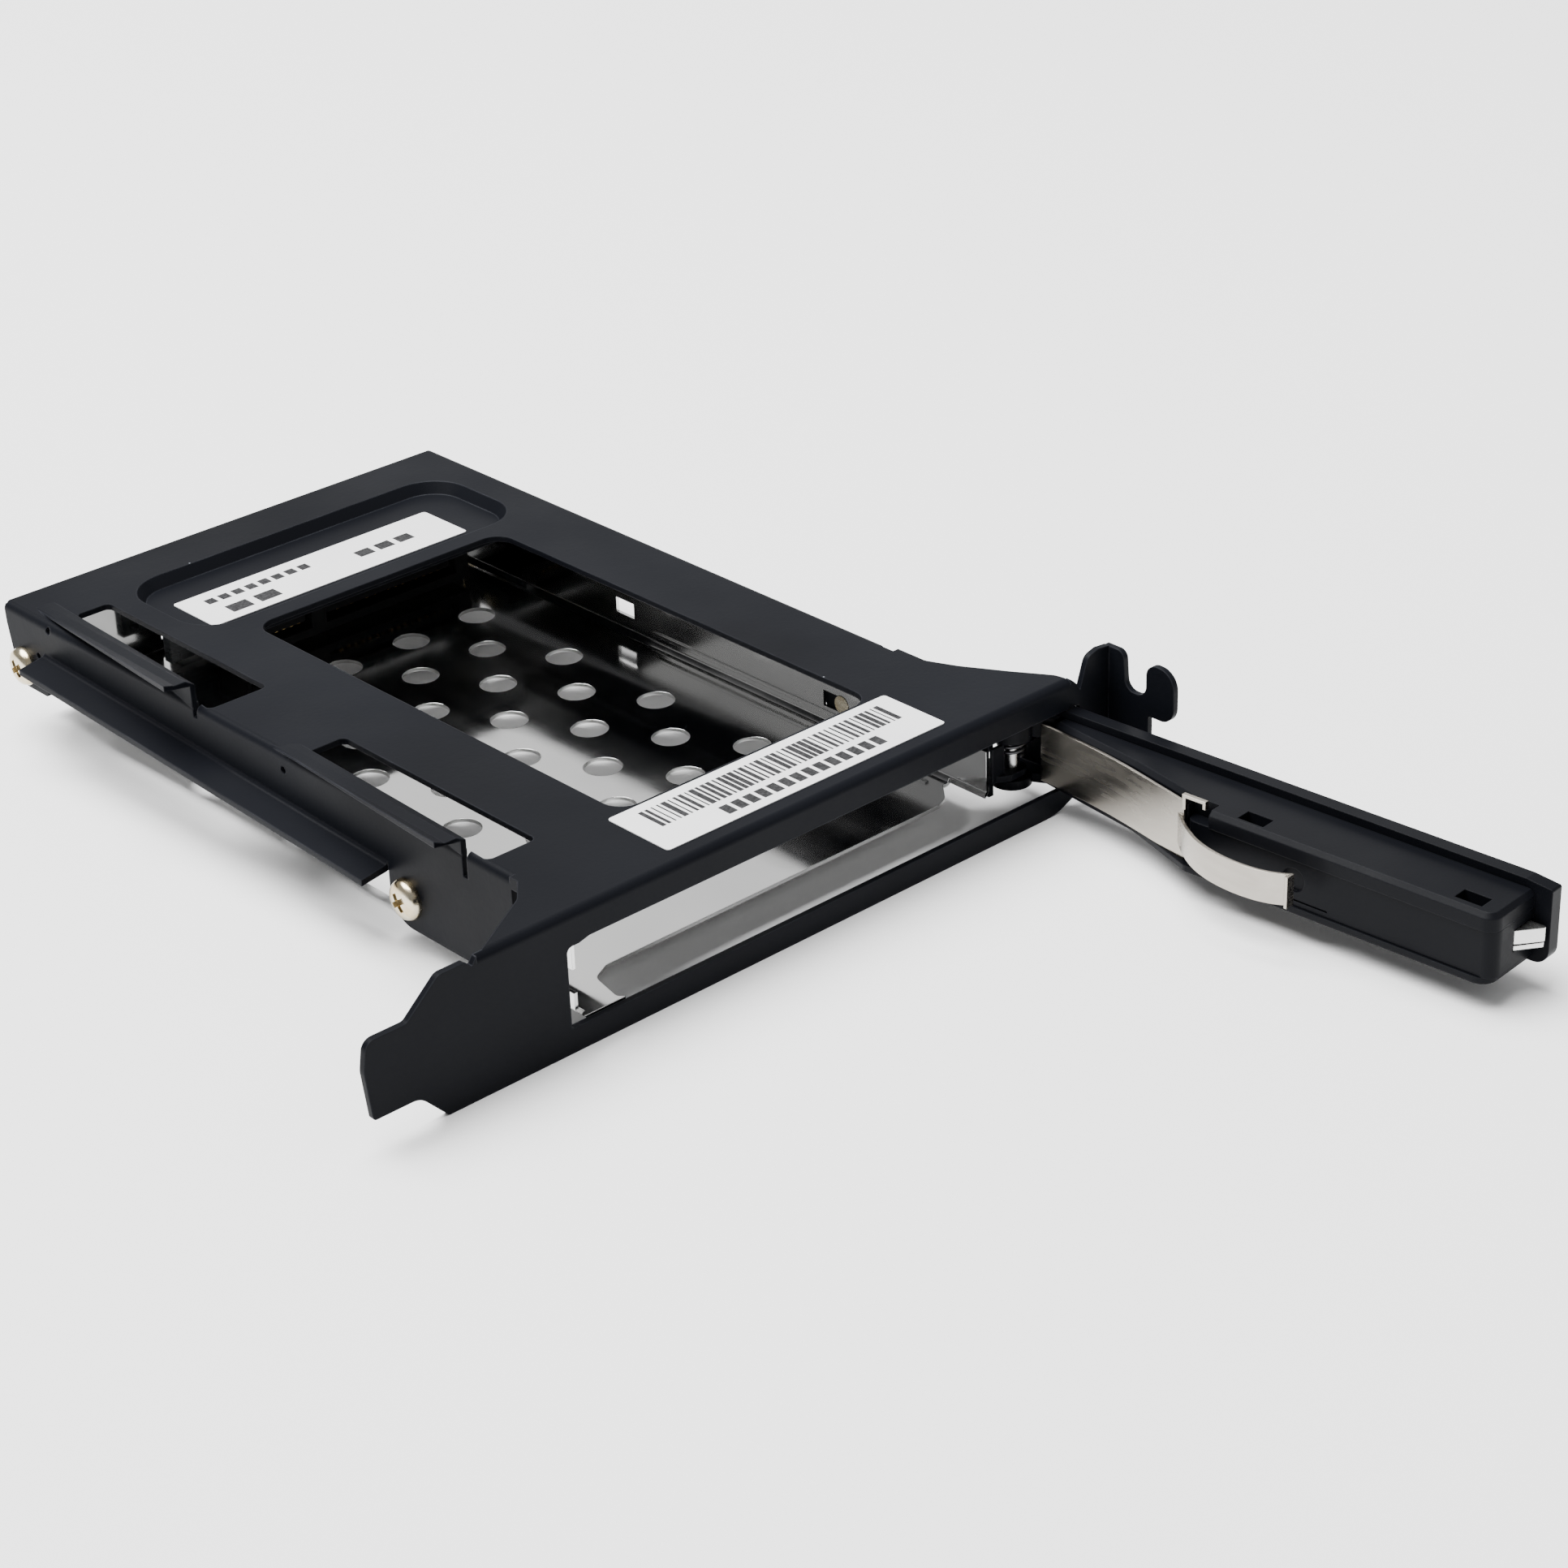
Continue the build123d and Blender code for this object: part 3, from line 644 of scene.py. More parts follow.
@dataclass(frozen=True)
class ZincPlate:
    """Yellow passivated zinc with uneven colour and fine scratches.

    Attributes:
        colour: Tone of the pale passivation.
        blush: Tone of the yellower patches.
        roughness: Lowest and highest roughness.
        rounding: Radius of the soft edges, in metres.
        patches: Grain that mixes the two tones.
        scratches: Fine scratches.
    """

    colour: Colour = (0.66, 0.60, 0.46)
    blush: Colour = (0.58, 0.46, 0.27)
    roughness: Pair = (0.14, 0.30)
    rounding: float = 0.00012
    patches: Grain = Grain(420.0, 3.0)
    scratches: Grain = Grain(1800.0, 3.0, (1.0, 0.2, 1.0), 0.4, 0.12, 0.00002)

    def material(self, name: str) -> bpy.types.Material:
        """Build the material.

        Args:
            name: The material's name.

        Returns:
            The material.
        """
        s = Shader(name)
        scratches = s.noise(self.scratches)
        return s.finish(
            Base_Color=s.mottle(self.patches, (0.42, 0.62), self.colour, self.blush),
            Metallic=1.0,
            Roughness=s.span(scratches, *MIDDLE, *self.roughness),
            Normal=s.bump(scratches, self.scratches, s.soft_edge(self.rounding)),
        )


@dataclass(frozen=True)
class SolderMask:
    """Circuit board laminate with traces under a coloured mask.

    Attributes:
        colour: Tone between the traces.
        trace: Tone over a trace.
        roughness: Lowest and highest roughness.
        rounding: Radius of the soft edges, in metres.
        traces: Traces a metre, and the height that they stand up.
        haze: Grain of the roughness.
    """

    colour: Colour = (0.006, 0.008, 0.010)
    trace: Colour = (0.014, 0.018, 0.021)
    roughness: Pair = (0.25, 0.4)
    rounding: float = 0.0001
    traces: Grain = Grain(260.0, strength=0.3, depth=0.00003)
    haze: Grain = Grain(200.0)

    def material(self, name: str) -> bpy.types.Material:
        """Build the material.

        Args:
            name: The material's name.

        Returns:
            The material.
        """
        s = Shader(name)
        upright = {"Vector": s.place, "Rotation": (math.radians(90), 0.0, 0.0)}
        bricks = s.add("ShaderNodeTexBrick", {
            "Vector": s.add("ShaderNodeMapping", upright).outputs[0], "Scale": self.traces.scale,
            "Mortar Size": 0.035, "Mortar Smooth": 0.2, "Brick Width": 0.9, "Row Height": 0.2,
        }, offset=0.37).outputs["Fac"]
        return s.finish(
            Base_Color=s.blend(bricks, self.colour, self.trace),
            Roughness=s.span(s.noise(self.haze), *MIDDLE, *self.roughness),
            Normal=s.bump(bricks, self.traces, s.soft_edge(self.rounding)),
        )


@dataclass(frozen=True)
class YellowMetal:
    """Turned brass or gold-plated strip with fine tool lines.

    Attributes:
        colour: Tone of the clean metal.
        shade: Tone of the dark lines.
        roughness: Lowest and highest roughness.
        rounding: Radius of the soft edges, in metres.
        tooling: Fine lines along Y.
        haze: Grain of the roughness.
    """

    colour: Colour = (0.83, 0.62, 0.28)
    shade: Colour = (0.66, 0.46, 0.18)
    roughness: Pair = (0.18, 0.32)
    rounding: float = 0.0001
    tooling: Grain = Grain(2400.0, 2.0, (1.0, 0.1, 1.0), strength=0.15, depth=0.00002)
    haze: Grain = Grain(500.0)

    def material(self, name: str) -> bpy.types.Material:
        """Build the material.

        Args:
            name: The material's name.

        Returns:
            The material.
        """
        s = Shader(name)
        lines = s.noise(self.tooling)
        return s.finish(
            Base_Color=s.blend(s.span(lines, 0.35, 0.7), self.colour, self.shade),
            Metallic=1.0,
            Roughness=s.span(s.noise(self.haze), *MIDDLE, *self.roughness),
            Normal=s.bump(lines, self.tooling, s.soft_edge(self.rounding)),
        )


class Finishes:
    """Every material of the rack, made once."""

    def __init__(self) -> None:
        """Build the materials."""
        strip = BrushedStrip((0.45, 0.42, 0.372), (0.36, 0.333, 0.295))
        catch = BrushedStrip((0.74, 0.74, 0.73), (0.62, 0.62, 0.61), 0.18, 0.30)
        wire = PlatedSteel((0.66, 0.66, 0.66), (0.52, 0.52, 0.52), 0.14, 0.26, 0.00003)
        music = PlatedSteel((0.16, 0.16, 0.165), (0.09, 0.09, 0.095), 0.22, 0.36, 0.00003)
        plug = MouldedPlastic((0.012, 0.012, 0.013), (0.017, 0.017, 0.018), 0.4, 0.55, 1800.0)
        brass = YellowMetal((0.70, 0.55, 0.27), (0.55, 0.42, 0.19))
        self.powder = PowderCoat().material("powder_coat")
        self.sheet = PlatedSteel().material("plated_sheet")
        self.strip = strip.material("spring_strip")
        self.catch = catch.material("catch_steel")
        self.wire = wire.material("drawn_wire")
        self.music = music.material("music_wire")
        self.moulding = MouldedPlastic().material("door_moulding")
        self.plug = plug.material("plug_moulding")
        self.film = LabelFilm().material("label_film")
        self.ink = PrintInk().material("label_ink")
        self.zinc = ZincPlate().material("yellow_zinc")
        self.mask = SolderMask().material("solder_mask")
        self.gold = YellowMetal().material("contact_gold")
        self.brass = brass.material("turned_brass")


class Growth(Graph):
    """Geometry tree of a piece that repeats or follows a rule."""

    def __init__(self, name: str) -> None:
        """Make an empty tree with its geometry input and output.

        Args:
            name: The tree's name.
        """
        super().__init__(bpy.data.node_groups.new(name, "GeometryNodeTree"))
        sockets = self.tree.interface
        sockets.new_socket("Geometry", in_out="INPUT", socket_type="NodeSocketGeometry")
        sockets.new_socket("Geometry", in_out="OUTPUT", socket_type="NodeSocketGeometry")
        self.start = self.add("NodeGroupInput")
        self.values: dict[str, Any] = {}
        self.keys: dict[str, str] = {}
        self.material: bpy.types.Material | None = None

    def size(self, name: str, value: Any) -> Socket:
        """Add a named input.

        Args:
            name: The input's name.
            value: Its value: a whole number, a length in metres or a vector.

        Returns:
            The socket that gives the value inside the tree.
        """
        kinds = {int: "NodeSocketInt", float: "NodeSocketFloat", tuple: "NodeSocketVector"}
        item = self.tree.interface.new_socket(name, in_out="INPUT", socket_type=kinds[type(value)])
        self.values[item.identifier] = value
        self.keys[name] = item.identifier
        return next(s for s in self.start.outputs if s.identifier == item.identifier)

    def change(self, name: str, value: Any) -> None:
        """Give a named input another value for what is grown next."""
        self.values[self.keys[name]] = value

    def position(self) -> bpy.types.Node:
        """Add the vertex position, split into X, Y and Z."""
        place = self.add("GeometryNodeInputPosition").outputs[0]
        return self.add("ShaderNodeSeparateXYZ", {0: place})

    def end(self, shape: Socket, material: bpy.types.Material) -> None:
        """Realize the instances, set their material and join the output.

        Args:
            shape: The finished geometry.
            material: The material that it wears.
        """
        self.material = material
        real = self.add("GeometryNodeRealizeInstances", {0: shape})
        dressed = self.add("GeometryNodeSetMaterial", {
            "Geometry": real.outputs[0], "Material": material,
        })
        self.add("NodeGroupOutput", {0: dressed.outputs[0]})

    def grow(self, name: str, points: Sequence[Vector] = (Vector(),)) -> bpy.types.Object:
        """Run the tree over some points and keep the result as a plain mesh.

        Args:
            name: The new object's name.
            points: The vertices that the tree starts from.

        Returns:
            The object, at the origin and without a modifier.
        """
        seed = bpy.data.meshes.new(name + "_points")
        seed.from_pydata([tuple(p) for p in points], [], [])
        piece = bpy.data.objects.new(name, seed)
        bpy.context.scene.collection.objects.link(piece)
        growth = piece.modifiers.new("growth", "NODES")
        growth.node_group = self.tree
        for key, value in self.values.items():
            growth[key] = value
        ready = piece.evaluated_get(bpy.context.evaluated_depsgraph_get())
        result = bpy.data.meshes.new_from_object(ready)
        piece.modifiers.clear()
        piece.data = result
        result.name = name
        result.materials.clear()
        result.materials.append(self.material)
        result.polygons.foreach_set("material_index", [0] * len(result.polygons))
        return piece


def shade_by_angle(piece: bpy.types.Object, degrees: float = 35.0) -> None:
    """Smooth a piece's faces where they meet at less than an angle.

    Args:
        piece: The mesh object.
        degrees: The largest angle that is smoothed.
    """
    mesh = bmesh.new()
    mesh.from_mesh(piece.data)
    for face in mesh.faces:
        face.smooth = True
    for edge in mesh.edges:
        edge.smooth = len(edge.link_faces) == 2 and edge.calc_face_angle() < math.radians(degrees)
    mesh.to_mesh(piece.data)
    mesh.free()


def settle(piece: bpy.types.Object, body: Body, slot: str, *nodes: str) -> bpy.types.Object:
    """Put a finished piece on its body.

    Args:
        piece: The mesh object.
        body: The body that it rides on.
        slot: Name of a material slot; it is not used.
        nodes: CAD nodes that it stands for.

    Returns:
        The piece.
    """
    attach(piece, body.value)
    if nodes:
        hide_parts(*nodes)
    LOG.info("%s rides on %s with %d faces", piece.name, body.value, len(piece.data.polygons))
    return piece


def dress(node: str, material: bpy.types.Material) -> None:
    """Give a CAD node a finish.

    Args:
        node: The node's name.
        material: Its finish.
    """
    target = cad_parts[node]
    target.data.materials.clear()
    target.data.materials.append(material)
    LOG.info("%s wears %s", node, material.name)


def join(name: str, pieces: Sequence[bpy.types.Object]) -> bpy.types.Object:
    """Join plain meshes into one object at the origin.

    Args:
        name: The joined object's name.
        pieces: The objects, which are used up.

    Returns:
        The joined object.
    """
    whole = bmesh.new()
    for piece in pieces:
        whole.from_mesh(piece.data)
    mesh = bpy.data.meshes.new(name)
    whole.to_mesh(mesh)
    whole.free()
    mesh.materials.append(pieces[0].data.materials[0])
    for piece in pieces:
        bpy.data.objects.remove(piece)
    joined = bpy.data.objects.new(name, mesh)
    bpy.context.scene.collection.objects.link(joined)
    return joined


@dataclass
class PanScrews:
    """Pan-head screws with a cross recess, all made by one tree, with lengths in millimetres.

    Attributes:
        head_radius: The head's radius.
        head_height: The head's height at its middle.
        shank_radius: The shank's radius.
        shank_length: Length of shank under the head.
        recess: The cross recess from tip to tip.
        blade: Width of the recess's arms.
        turn: Turn of the recess about the screw, in radians.
        sides: Sides of the head.
        rings: Rings up the head's side, and over its top.
        dome_power: Power that shapes the dome, where a larger one keeps the top flatter.
        dome_share: Share of the height that the dome takes.
        recess_lift: Height of the recess cutter's middle, in head heights.
        shank_sides: Sides of the shank.
    """

    head_radius: float = 2.7
    head_height: float = 1.7
    shank_radius: float = 1.3
    shank_length: float = 1.4
    recess: float = 2.5
    blade: float = 0.72
    turn: float = 0.6
    sides: int = 48
    rings: tuple[int, int] = (4, 10)
    dome_power: float = 2.6
    dome_share: float = 0.72
    recess_lift: float = 1.02
    shank_sides: int = 32

    def head(self, g: Growth) -> Socket:
        """Add the domed head with its cross recess.

        Args:
            g: The tree that the nodes go into.

        Returns:
            The head's geometry, standing up from Z = 0.
        """
        radius = g.size("Head radius", self.head_radius * MM)
        height = g.size("Head height", self.head_height * MM)
        recess = g.size("Recess width", self.recess * MM)
        blade = g.size("Blade width", self.blade * MM)
        blank = g.add("GeometryNodeMeshCylinder", {
            "Vertices": self.sides, "Side Segments": self.rings[0], "Fill Segments": self.rings[1],
            "Radius": radius, "Depth": height,
        })
        x, y, z = g.position().outputs
        share = g.maths("DIVIDE", g.vector_maths("LENGTH", g.vector(x, y)).outputs["Value"], radius)
        above = g.maths("ADD", g.maths("DIVIDE", z, height), 0.5)
        fall = g.maths("SUBTRACT", 1.0, g.maths("POWER", share, self.dome_power))
        crown = g.maths("POWER", g.maths("MAXIMUM", fall, 0.0), 0.5)
        level = g.maths("MULTIPLY_ADD", crown, self.dome_share, 1.0 - self.dome_share)
        raised = g.maths("MULTIPLY", g.maths("MULTIPLY", height, above), level)
        domed = g.add("GeometryNodeSetPosition", {
            "Geometry": blank.outputs["Mesh"], "Position": g.vector(x, y, raised),
        })
        cut = g.add("GeometryNodeMeshBoolean", {
            "Mesh 1": domed.outputs[0], "Self Intersection": True,
        }, operation="DIFFERENCE", solver="EXACT")
        lift = g.vector(z=g.maths("MULTIPLY", height, self.recess_lift))
        for width, length in ((recess, blade), (blade, recess)):
            bar = g.add("GeometryNodeMeshCube", {"Size": g.vector(width, length, height)})
            bar = g.add("GeometryNodeTransform", {
                "Geometry": bar.outputs["Mesh"], "Translation": lift,
            })
            g.tree.links.new(bar.outputs[0], cut.inputs["Mesh 2"])
        return cut.outputs["Mesh"]

    def shank(self, g: Growth) -> Socket:
        """Add the plain shank under the head.

        Args:
            g: The tree that the nodes go into.

        Returns:
            The shank's geometry, hanging down from Z = 0.
        """
        radius = g.size("Shank radius", self.shank_radius * MM)
        length = g.size("Shank length", self.shank_length * MM)
        rod = g.add("GeometryNodeMeshCylinder", {
            "Vertices": self.shank_sides, "Radius": radius, "Depth": length,
        })
        drop = g.vector(z=g.maths("MULTIPLY", length, -0.5))
        rod = g.add("GeometryNodeTransform", {"Geometry": rod.outputs["Mesh"], "Translation": drop})
        return rod.outputs[0]

    def tree(self, name: str, material: bpy.types.Material) -> Growth:
        """Build the tree that puts a screw on each point.

        Args:
            name: The tree's name.
            material: The screws' finish.

        Returns:
            The tree, whose Axis input is the way that the heads face.
        """
        g = Growth(name)
        screw = g.add("GeometryNodeJoinGeometry")
        for part in (self.head(g), self.shank(g)):
            g.tree.links.new(part, screw.inputs[0])
        facing = g.add("FunctionNodeAlignRotationToVector", {
            "Vector": g.size("Axis", (0.0, 0.0, 1.0)),
        }, axis="Z")
        spun = g.add("FunctionNodeRotateRotation", {
            "Rotation": facing.outputs[0], "Rotate By": (0.0, 0.0, self.turn),
        }, rotation_space="LOCAL")
        copies = g.add("GeometryNodeInstanceOnPoints", {
            "Points": g.start.outputs[0], "Instance": screw.outputs[0], "Rotation": spun.outputs[0],
        })
        g.end(copies.outputs[0], material)
        return g


@dataclass
class Cover:
    """Black folded cover with its four screws, in bracket millimetres.

    Attributes:
        left: X that the left wall's heads sit at.
        right: X that the right wall's heads sit at.
        screw_places: Y and Z of each wall's screws.
        screws: The screws' sizes.
    """

    left: float = 30.3
    right: float = 103.4
    screw_places: tuple[Pair, ...] = ((31.9, -11.0), (116.2, -8.2))
    screws: PanScrews = field(default_factory=PanScrews)

    def build(self, finishes: Finishes) -> None:
        """Dress the cover and put its screws in.

        Args:
            finishes: The rack's materials.
        """
        dress("cover_bracket", finishes.powder)
        tree = self.screws.tree("cover_screw_tree", finishes.zinc)
        sides = []
        for x, axis in ((self.left, (-1.0, 0.0, 0.0)), (self.right, (1.0, 0.0, 0.0))):
            points = [BRACKET.at(x, y, z) for y, z in self.screw_places]
            tree.change("Axis", axis)
            sides.append(tree.grow("screws", points))
        heads = join("cover_screw_heads", sides)
        shade_by_angle(heads)
        settle(heads, Body.CHASSIS, "screw_plate", "cover_screws")


@dataclass
class Tray:
    """Bright perforated tray."""

    def build(self, finishes: Finishes) -> None:
        """Dress the tray."""
        dress("drive_tray", finishes.sheet)


class Print(Enum):
    """Plain shapes on a label, with their narrowest and widest share of a row's bar."""

    BARS = (0.3, 1.3)
    FIELDS = (1.0, 1.0)


@dataclass(frozen=True)
class PrintRow:
    """Row of plain bars or fields on a label.

    Attributes:
        kind: Bars of changing width, or fields of one width.
        low: The row's lowest X and Y in bracket millimetres.
        high: The row's highest X and Y.
        pitch: Distance from one shape to the next.
        bar: A shape's width before the kind's change.
    """

    kind: Print
    low: Pair
    high: Pair
    pitch: float
    bar: float


FRONT_PRINT = (
    PrintRow(Print.BARS, (50.2, 7.7), (90.2, 12.3), 0.88, 0.62),
    PrintRow(Print.FIELDS, (57.4, 4.3), (85.6, 6.5), 1.9, 1.35),
)
REAR_PRINT = (
    PrintRow(Print.FIELDS, (50.2, 101.6), (69.0, 103.2), 2.2, 1.5),
    PrintRow(Print.FIELDS, (50.2, 97.2), (64.0, 99.6), 4.6, 3.4),
    PrintRow(Print.FIELDS, (73.4, 99.2), (87.0, 101.2), 3.4, 2.5),
)


@dataclass
class Label:
    """White label with plain generic print, with lengths in millimetres.

    Attributes:
        node: The label's CAD node.
        height: Height of the print's middle over the cover's top.
        rows: Rows of print.
        ink_thickness: The print's thickness.
        first_seed: Seed of the first row's widths.
    """

    node: str
    height: float
    rows: tuple[PrintRow, ...]
    ink_thickness: float = 0.01
    first_seed: int = 7

    def tree(self, row: PrintRow, seed: int, material: bpy.types.Material) -> Growth:
        """Build the tree that repeats a flat shape along X, each as wide as its kind allows.

        Args:
            row: The row's place and sizes.
            seed: Seed of the shapes' widths.
            material: The ink.

        Returns:
            The tree.
        """
        g = Growth(self.node + "_print_tree")
        count = g.size("Shapes", int((row.high[0] - row.low[0]) / row.pitch))
        step = g.vector(g.size("Pitch", row.pitch * MM))
        line = g.add("GeometryNodeMeshLine", {"Count": count, "Offset": step})
        size = g.vector(
            g.size("Width", row.bar * MM),
            g.size("Length", (row.high[1] - row.low[1]) * MM),
            g.size("Ink thickness", self.ink_thickness * MM),
        )
        bar = g.add("GeometryNodeMeshCube", {"Size": size})
        narrow, wide = row.kind.value
        chance = g.add("FunctionNodeRandomValue", {
            "Min": g.size("Narrowest", narrow),
            "Max": g.size("Widest", wide),
            "Seed": g.size("Seed", seed),
        })
        width = next(o for o in chance.outputs if o.enabled)
        copies = g.add("GeometryNodeInstanceOnPoints", {
            "Points": line.outputs[0],
            "Instance": bar.outputs["Mesh"],
            "Scale": g.vector(width, 1.0, 1.0),
        })
        middle = (row.low[1] + row.high[1]) / 2
        place = g.size("Place", tuple(BRACKET.at(row.low[0] + row.bar, middle, self.height)))
        moved = g.add("GeometryNodeTransform", {
            "Geometry": copies.outputs[0], "Translation": place,
        })
        g.end(moved.outputs[0], material)
        return g

    def build(self, finishes: Finishes) -> None:
        """Dress the label and print its plain rows.

        Args:
            finishes: The rack's materials.
        """
        dress(self.node, finishes.film)
        rows = []
        for seed, row in enumerate(self.rows, self.first_seed):
            rows.append(self.tree(row, seed, finishes.ink).grow("row"))
        settle(join(self.node + "_print", rows), Body.CHASSIS, "label_paper")


@dataclass
class ContactRow:
    """Row of sprung contact blades, with lengths in millimetres.

    Attributes:
        node: The contacts' CAD node.
        start: Middle of the first blade, in bracket millimetres.
        counts: Each group's distance from the start along X, and its number of blades.
        length: A blade's length.
        bow: How far a blade's ends bend, up or down.
        pitch: Distance from one blade to the next.
        width: A blade's width.
        thickness: A blade's thickness.
        camber: Bend across the blade, as a share of the bow.
        tip_power: Power that keeps the bend to the blade's ends.
    """

    node: str
    start: Triple
    counts: tuple[tuple[float, int], ...]
    length: float
    bow: float
    pitch: float = 1.27
    width: float = 0.6
    thickness: float = 0.25
    camber: float = 0.4
    tip_power: float = 4.0

    def tree(self, material: bpy.types.Material, count: int) -> Growth:
        """Build the tree that repeats one bowed blade along X.

        Args:
            material: The blades' finish.
            count: Number of blades.

        Returns:
            The tree.
        """
        g = Growth(self.node + "_tree")
        step = g.vector(g.size("Pitch", self.pitch * MM))
        line = g.add("GeometryNodeMeshLine", {"Count": g.size("Contacts", count), "Offset": step})
        width = g.size("Blade width", self.width * MM)
        length = g.size("Blade length", self.length * MM)
        size = g.vector(width, length, g.size("Blade thickness", self.thickness * MM))
        blade = g.add("GeometryNodeMeshCube", {
            "Size": size, "Vertices X": 3, "Vertices Y": 9, "Vertices Z": 2,
        })
        x, y, _ = g.position().outputs
        along = g.maths("DIVIDE", y, g.maths("MULTIPLY", length, 0.5))
        across = g.maths("DIVIDE", x, g.maths("MULTIPLY", width, 0.5))
        rounding = g.maths("MULTIPLY", g.maths("MULTIPLY", across, across), self.camber)
        ends = g.maths("POWER", g.maths("ABSOLUTE", along), self.tip_power)
        bend = g.maths("MULTIPLY", g.maths("ADD", rounding, ends), g.size("Bow", self.bow * MM))
        bowed = g.add("GeometryNodeSetPosition", {
            "Geometry": blade.outputs["Mesh"], "Offset": g.vector(z=bend),
        })
        copies = g.add("GeometryNodeInstanceOnPoints", {
            "Points": line.outputs[0], "Instance": bowed.outputs[0],
        })
        moved = g.add("GeometryNodeTransform", {
            "Geometry": copies.outputs[0], "Translation": g.size("Place", (0.0, 0.0, 0.0)),
        })
        g.end(moved.outputs[0], material)
        return g

    def build(self, finishes: Finishes) -> None:
        """Grow each group of contacts and put them in one piece.

        Args:
            finishes: The rack's materials.
        """
        x, y, z = self.start
        groups = []
        for shift, count in self.counts:
            tree = self.tree(finishes.gold, count)
            tree.change("Place", tuple(BRACKET.at(x + shift, y, z)))
            groups.append(tree.grow("contacts"))
        settle(join(self.node + "_blades", groups), Body.CHASSIS, "contact_metal", self.node)


@dataclass
class RearBoard:
    """Circuit board across the rear with its plugs and posts.

    Attributes:
        rows: The plugs' contacts.
    """

    rows: tuple[ContactRow, ...] = (
        ContactRow("drive_contacts", (60.3, 108.6, -11.625), ((0.0, 7), (14.4, 15)), 4.8, 0.07),
        ContactRow("power_contacts", (56.81, 116.85, -8.775), ((0.0, 15),), 3.3, -0.07),
        ContactRow("data_contacts", (83.39, 116.85, -8.775), ((0.0, 7),), 3.3, -0.07),
    )

    def build(self, finishes: Finishes) -> None:
        """Dress the board, the plugs and the posts, and grow the contacts.

        Args:
            finishes: The rack's materials.
        """
        dress("circuit_board", finishes.mask)
        dress("board_standoffs", finishes.brass)
        dress("board_screws", finishes.zinc)
        for node in ("drive_plug", "power_plug", "data_plug"):
            dress(node, finishes.plug)
        for row in self.rows:
            row.build(finishes)


@dataclass
class HingeCoil:
    """Torsion spring round the hinge pin, with lengths in millimetres.

    Attributes:
        radius: Radius of the coil at the wire's middle.
        wire: The wire's diameter.
        turns: Number of turns.
        low: Height of the coil's lowest turn over the cover's top.
        high: Height of its highest turn.
        rear_leg: Length of the leg at the low end.
        door_leg: Length of the leg along the door.
        points: Points along the wire.
        leg_share: Share of the points in each leg.
        wire_sides: Sides of the wire.
    """

    radius: float = 1.7
    wire: float = 0.5
    turns: float = 2.0
    low: float = -10.2
    high: float = -8.7
    rear_leg: float = 0.5
    door_leg: float = 3.6
    points: int = 160
    leg_share: float = 0.04
    wire_sides: int = 12

    def tree(self, material: bpy.types.Material) -> Growth:
        """Build the tree that bends a line of points into a coil with straight legs.

        Args:
            material: The wire's finish.

        Returns:
            The tree.
        """
        g = Growth("hinge_coil_tree")
        radius = g.size("Coil radius", self.radius * MM)
        height = g.size("Coil height", (self.high - self.low) * MM)
        line = g.add("GeometryNodeMeshLine", {"Count": self.points})
        index = g.add("GeometryNodeInputIndex").outputs[0]
        share = g.maths("DIVIDE", index, float(self.points - 1))
        leg, far_leg = self.leg_share, 1.0 - self.leg_share
        inner = g.span(share, leg, far_leg)
        whole = g.maths("MULTIPLY", g.size("Turns", self.turns), math.tau)
        angle = g.maths("MULTIPLY", inner, whole)
        rear_leg = g.size("Rear leg", self.rear_leg * MM)
        door_leg = g.size("Door leg", self.door_leg * MM)
        before = g.maths("MULTIPLY", g.span(share, 0.0, leg, -1.0, 0.0), rear_leg)
        after = g.maths("MULTIPLY", g.span(share, far_leg, 1.0), door_leg)
        slide = g.maths("ADD", before, after)
        cos, sin = g.maths("COSINE", angle), g.maths("SINE", angle)
        x = g.maths("SUBTRACT", g.maths("MULTIPLY", radius, cos), g.maths("MULTIPLY", slide, sin))
        y = g.maths("ADD", g.maths("MULTIPLY", radius, sin), g.maths("MULTIPLY", slide, cos))
        spot = g.vector(x, y, g.maths("MULTIPLY", inner, height))
        bent = g.add("GeometryNodeSetPosition", {"Geometry": line.outputs[0], "Position": spot})
        path = g.add("GeometryNodeMeshToCurve", {0: bent.outputs[0]})
        wire = g.size("Wire radius", self.wire / 2 * MM)
        ring = g.add("GeometryNodeCurvePrimitiveCircle", {
            "Resolution": self.wire_sides, "Radius": wire,
        })
        tube = g.add("GeometryNodeCurveToMesh", {
            "Curve": path.outputs[0], "Profile Curve": ring.outputs[0], "Fill Caps": True,
        })
        place = g.size("Place", tuple(DOOR.at(0.0, DOOR.face, self.low)))
        moved = g.add("GeometryNodeTransform", {
            "Geometry": tube.outputs[0], "Translation": place, "Rotation": (0.0, 0.0, DOOR.angle),
        })
        g.end(moved.outputs[0], material)
        return g

    def build(self, finishes: Finishes) -> None:
        """Grow the coil.

        Args:
            finishes: The rack's materials.
        """
        coil = self.tree(finishes.music).grow("hinge_coil")
        shade_by_angle(coil, 60.0)
        settle(coil, Body.DOOR, "pin_steel", "hinge_spring")


@dataclass
class Door:
    """Swing-out door with its housing, leaf spring, latch and hinge.

    Attributes:
        coil: The hinge's torsion spring.
    """

    coil: HingeCoil = field(default_factory=HingeCoil)

    def build(self, finishes: Finishes) -> None:
        """Dress the door's pieces and grow the hinge coil.

        Args:
            finishes: The rack's materials.
        """
        for node in ("door_shell", "door_block", "door_cap", "latch_grip"):
            dress(node, finishes.moulding)
        dress("leaf_spring", finishes.strip)
        dress("latch_tongue", finishes.catch)
        dress("hinge_mount", finishes.powder)
        dress("hinge_pin", finishes.wire)
        self.coil.build(finishes)


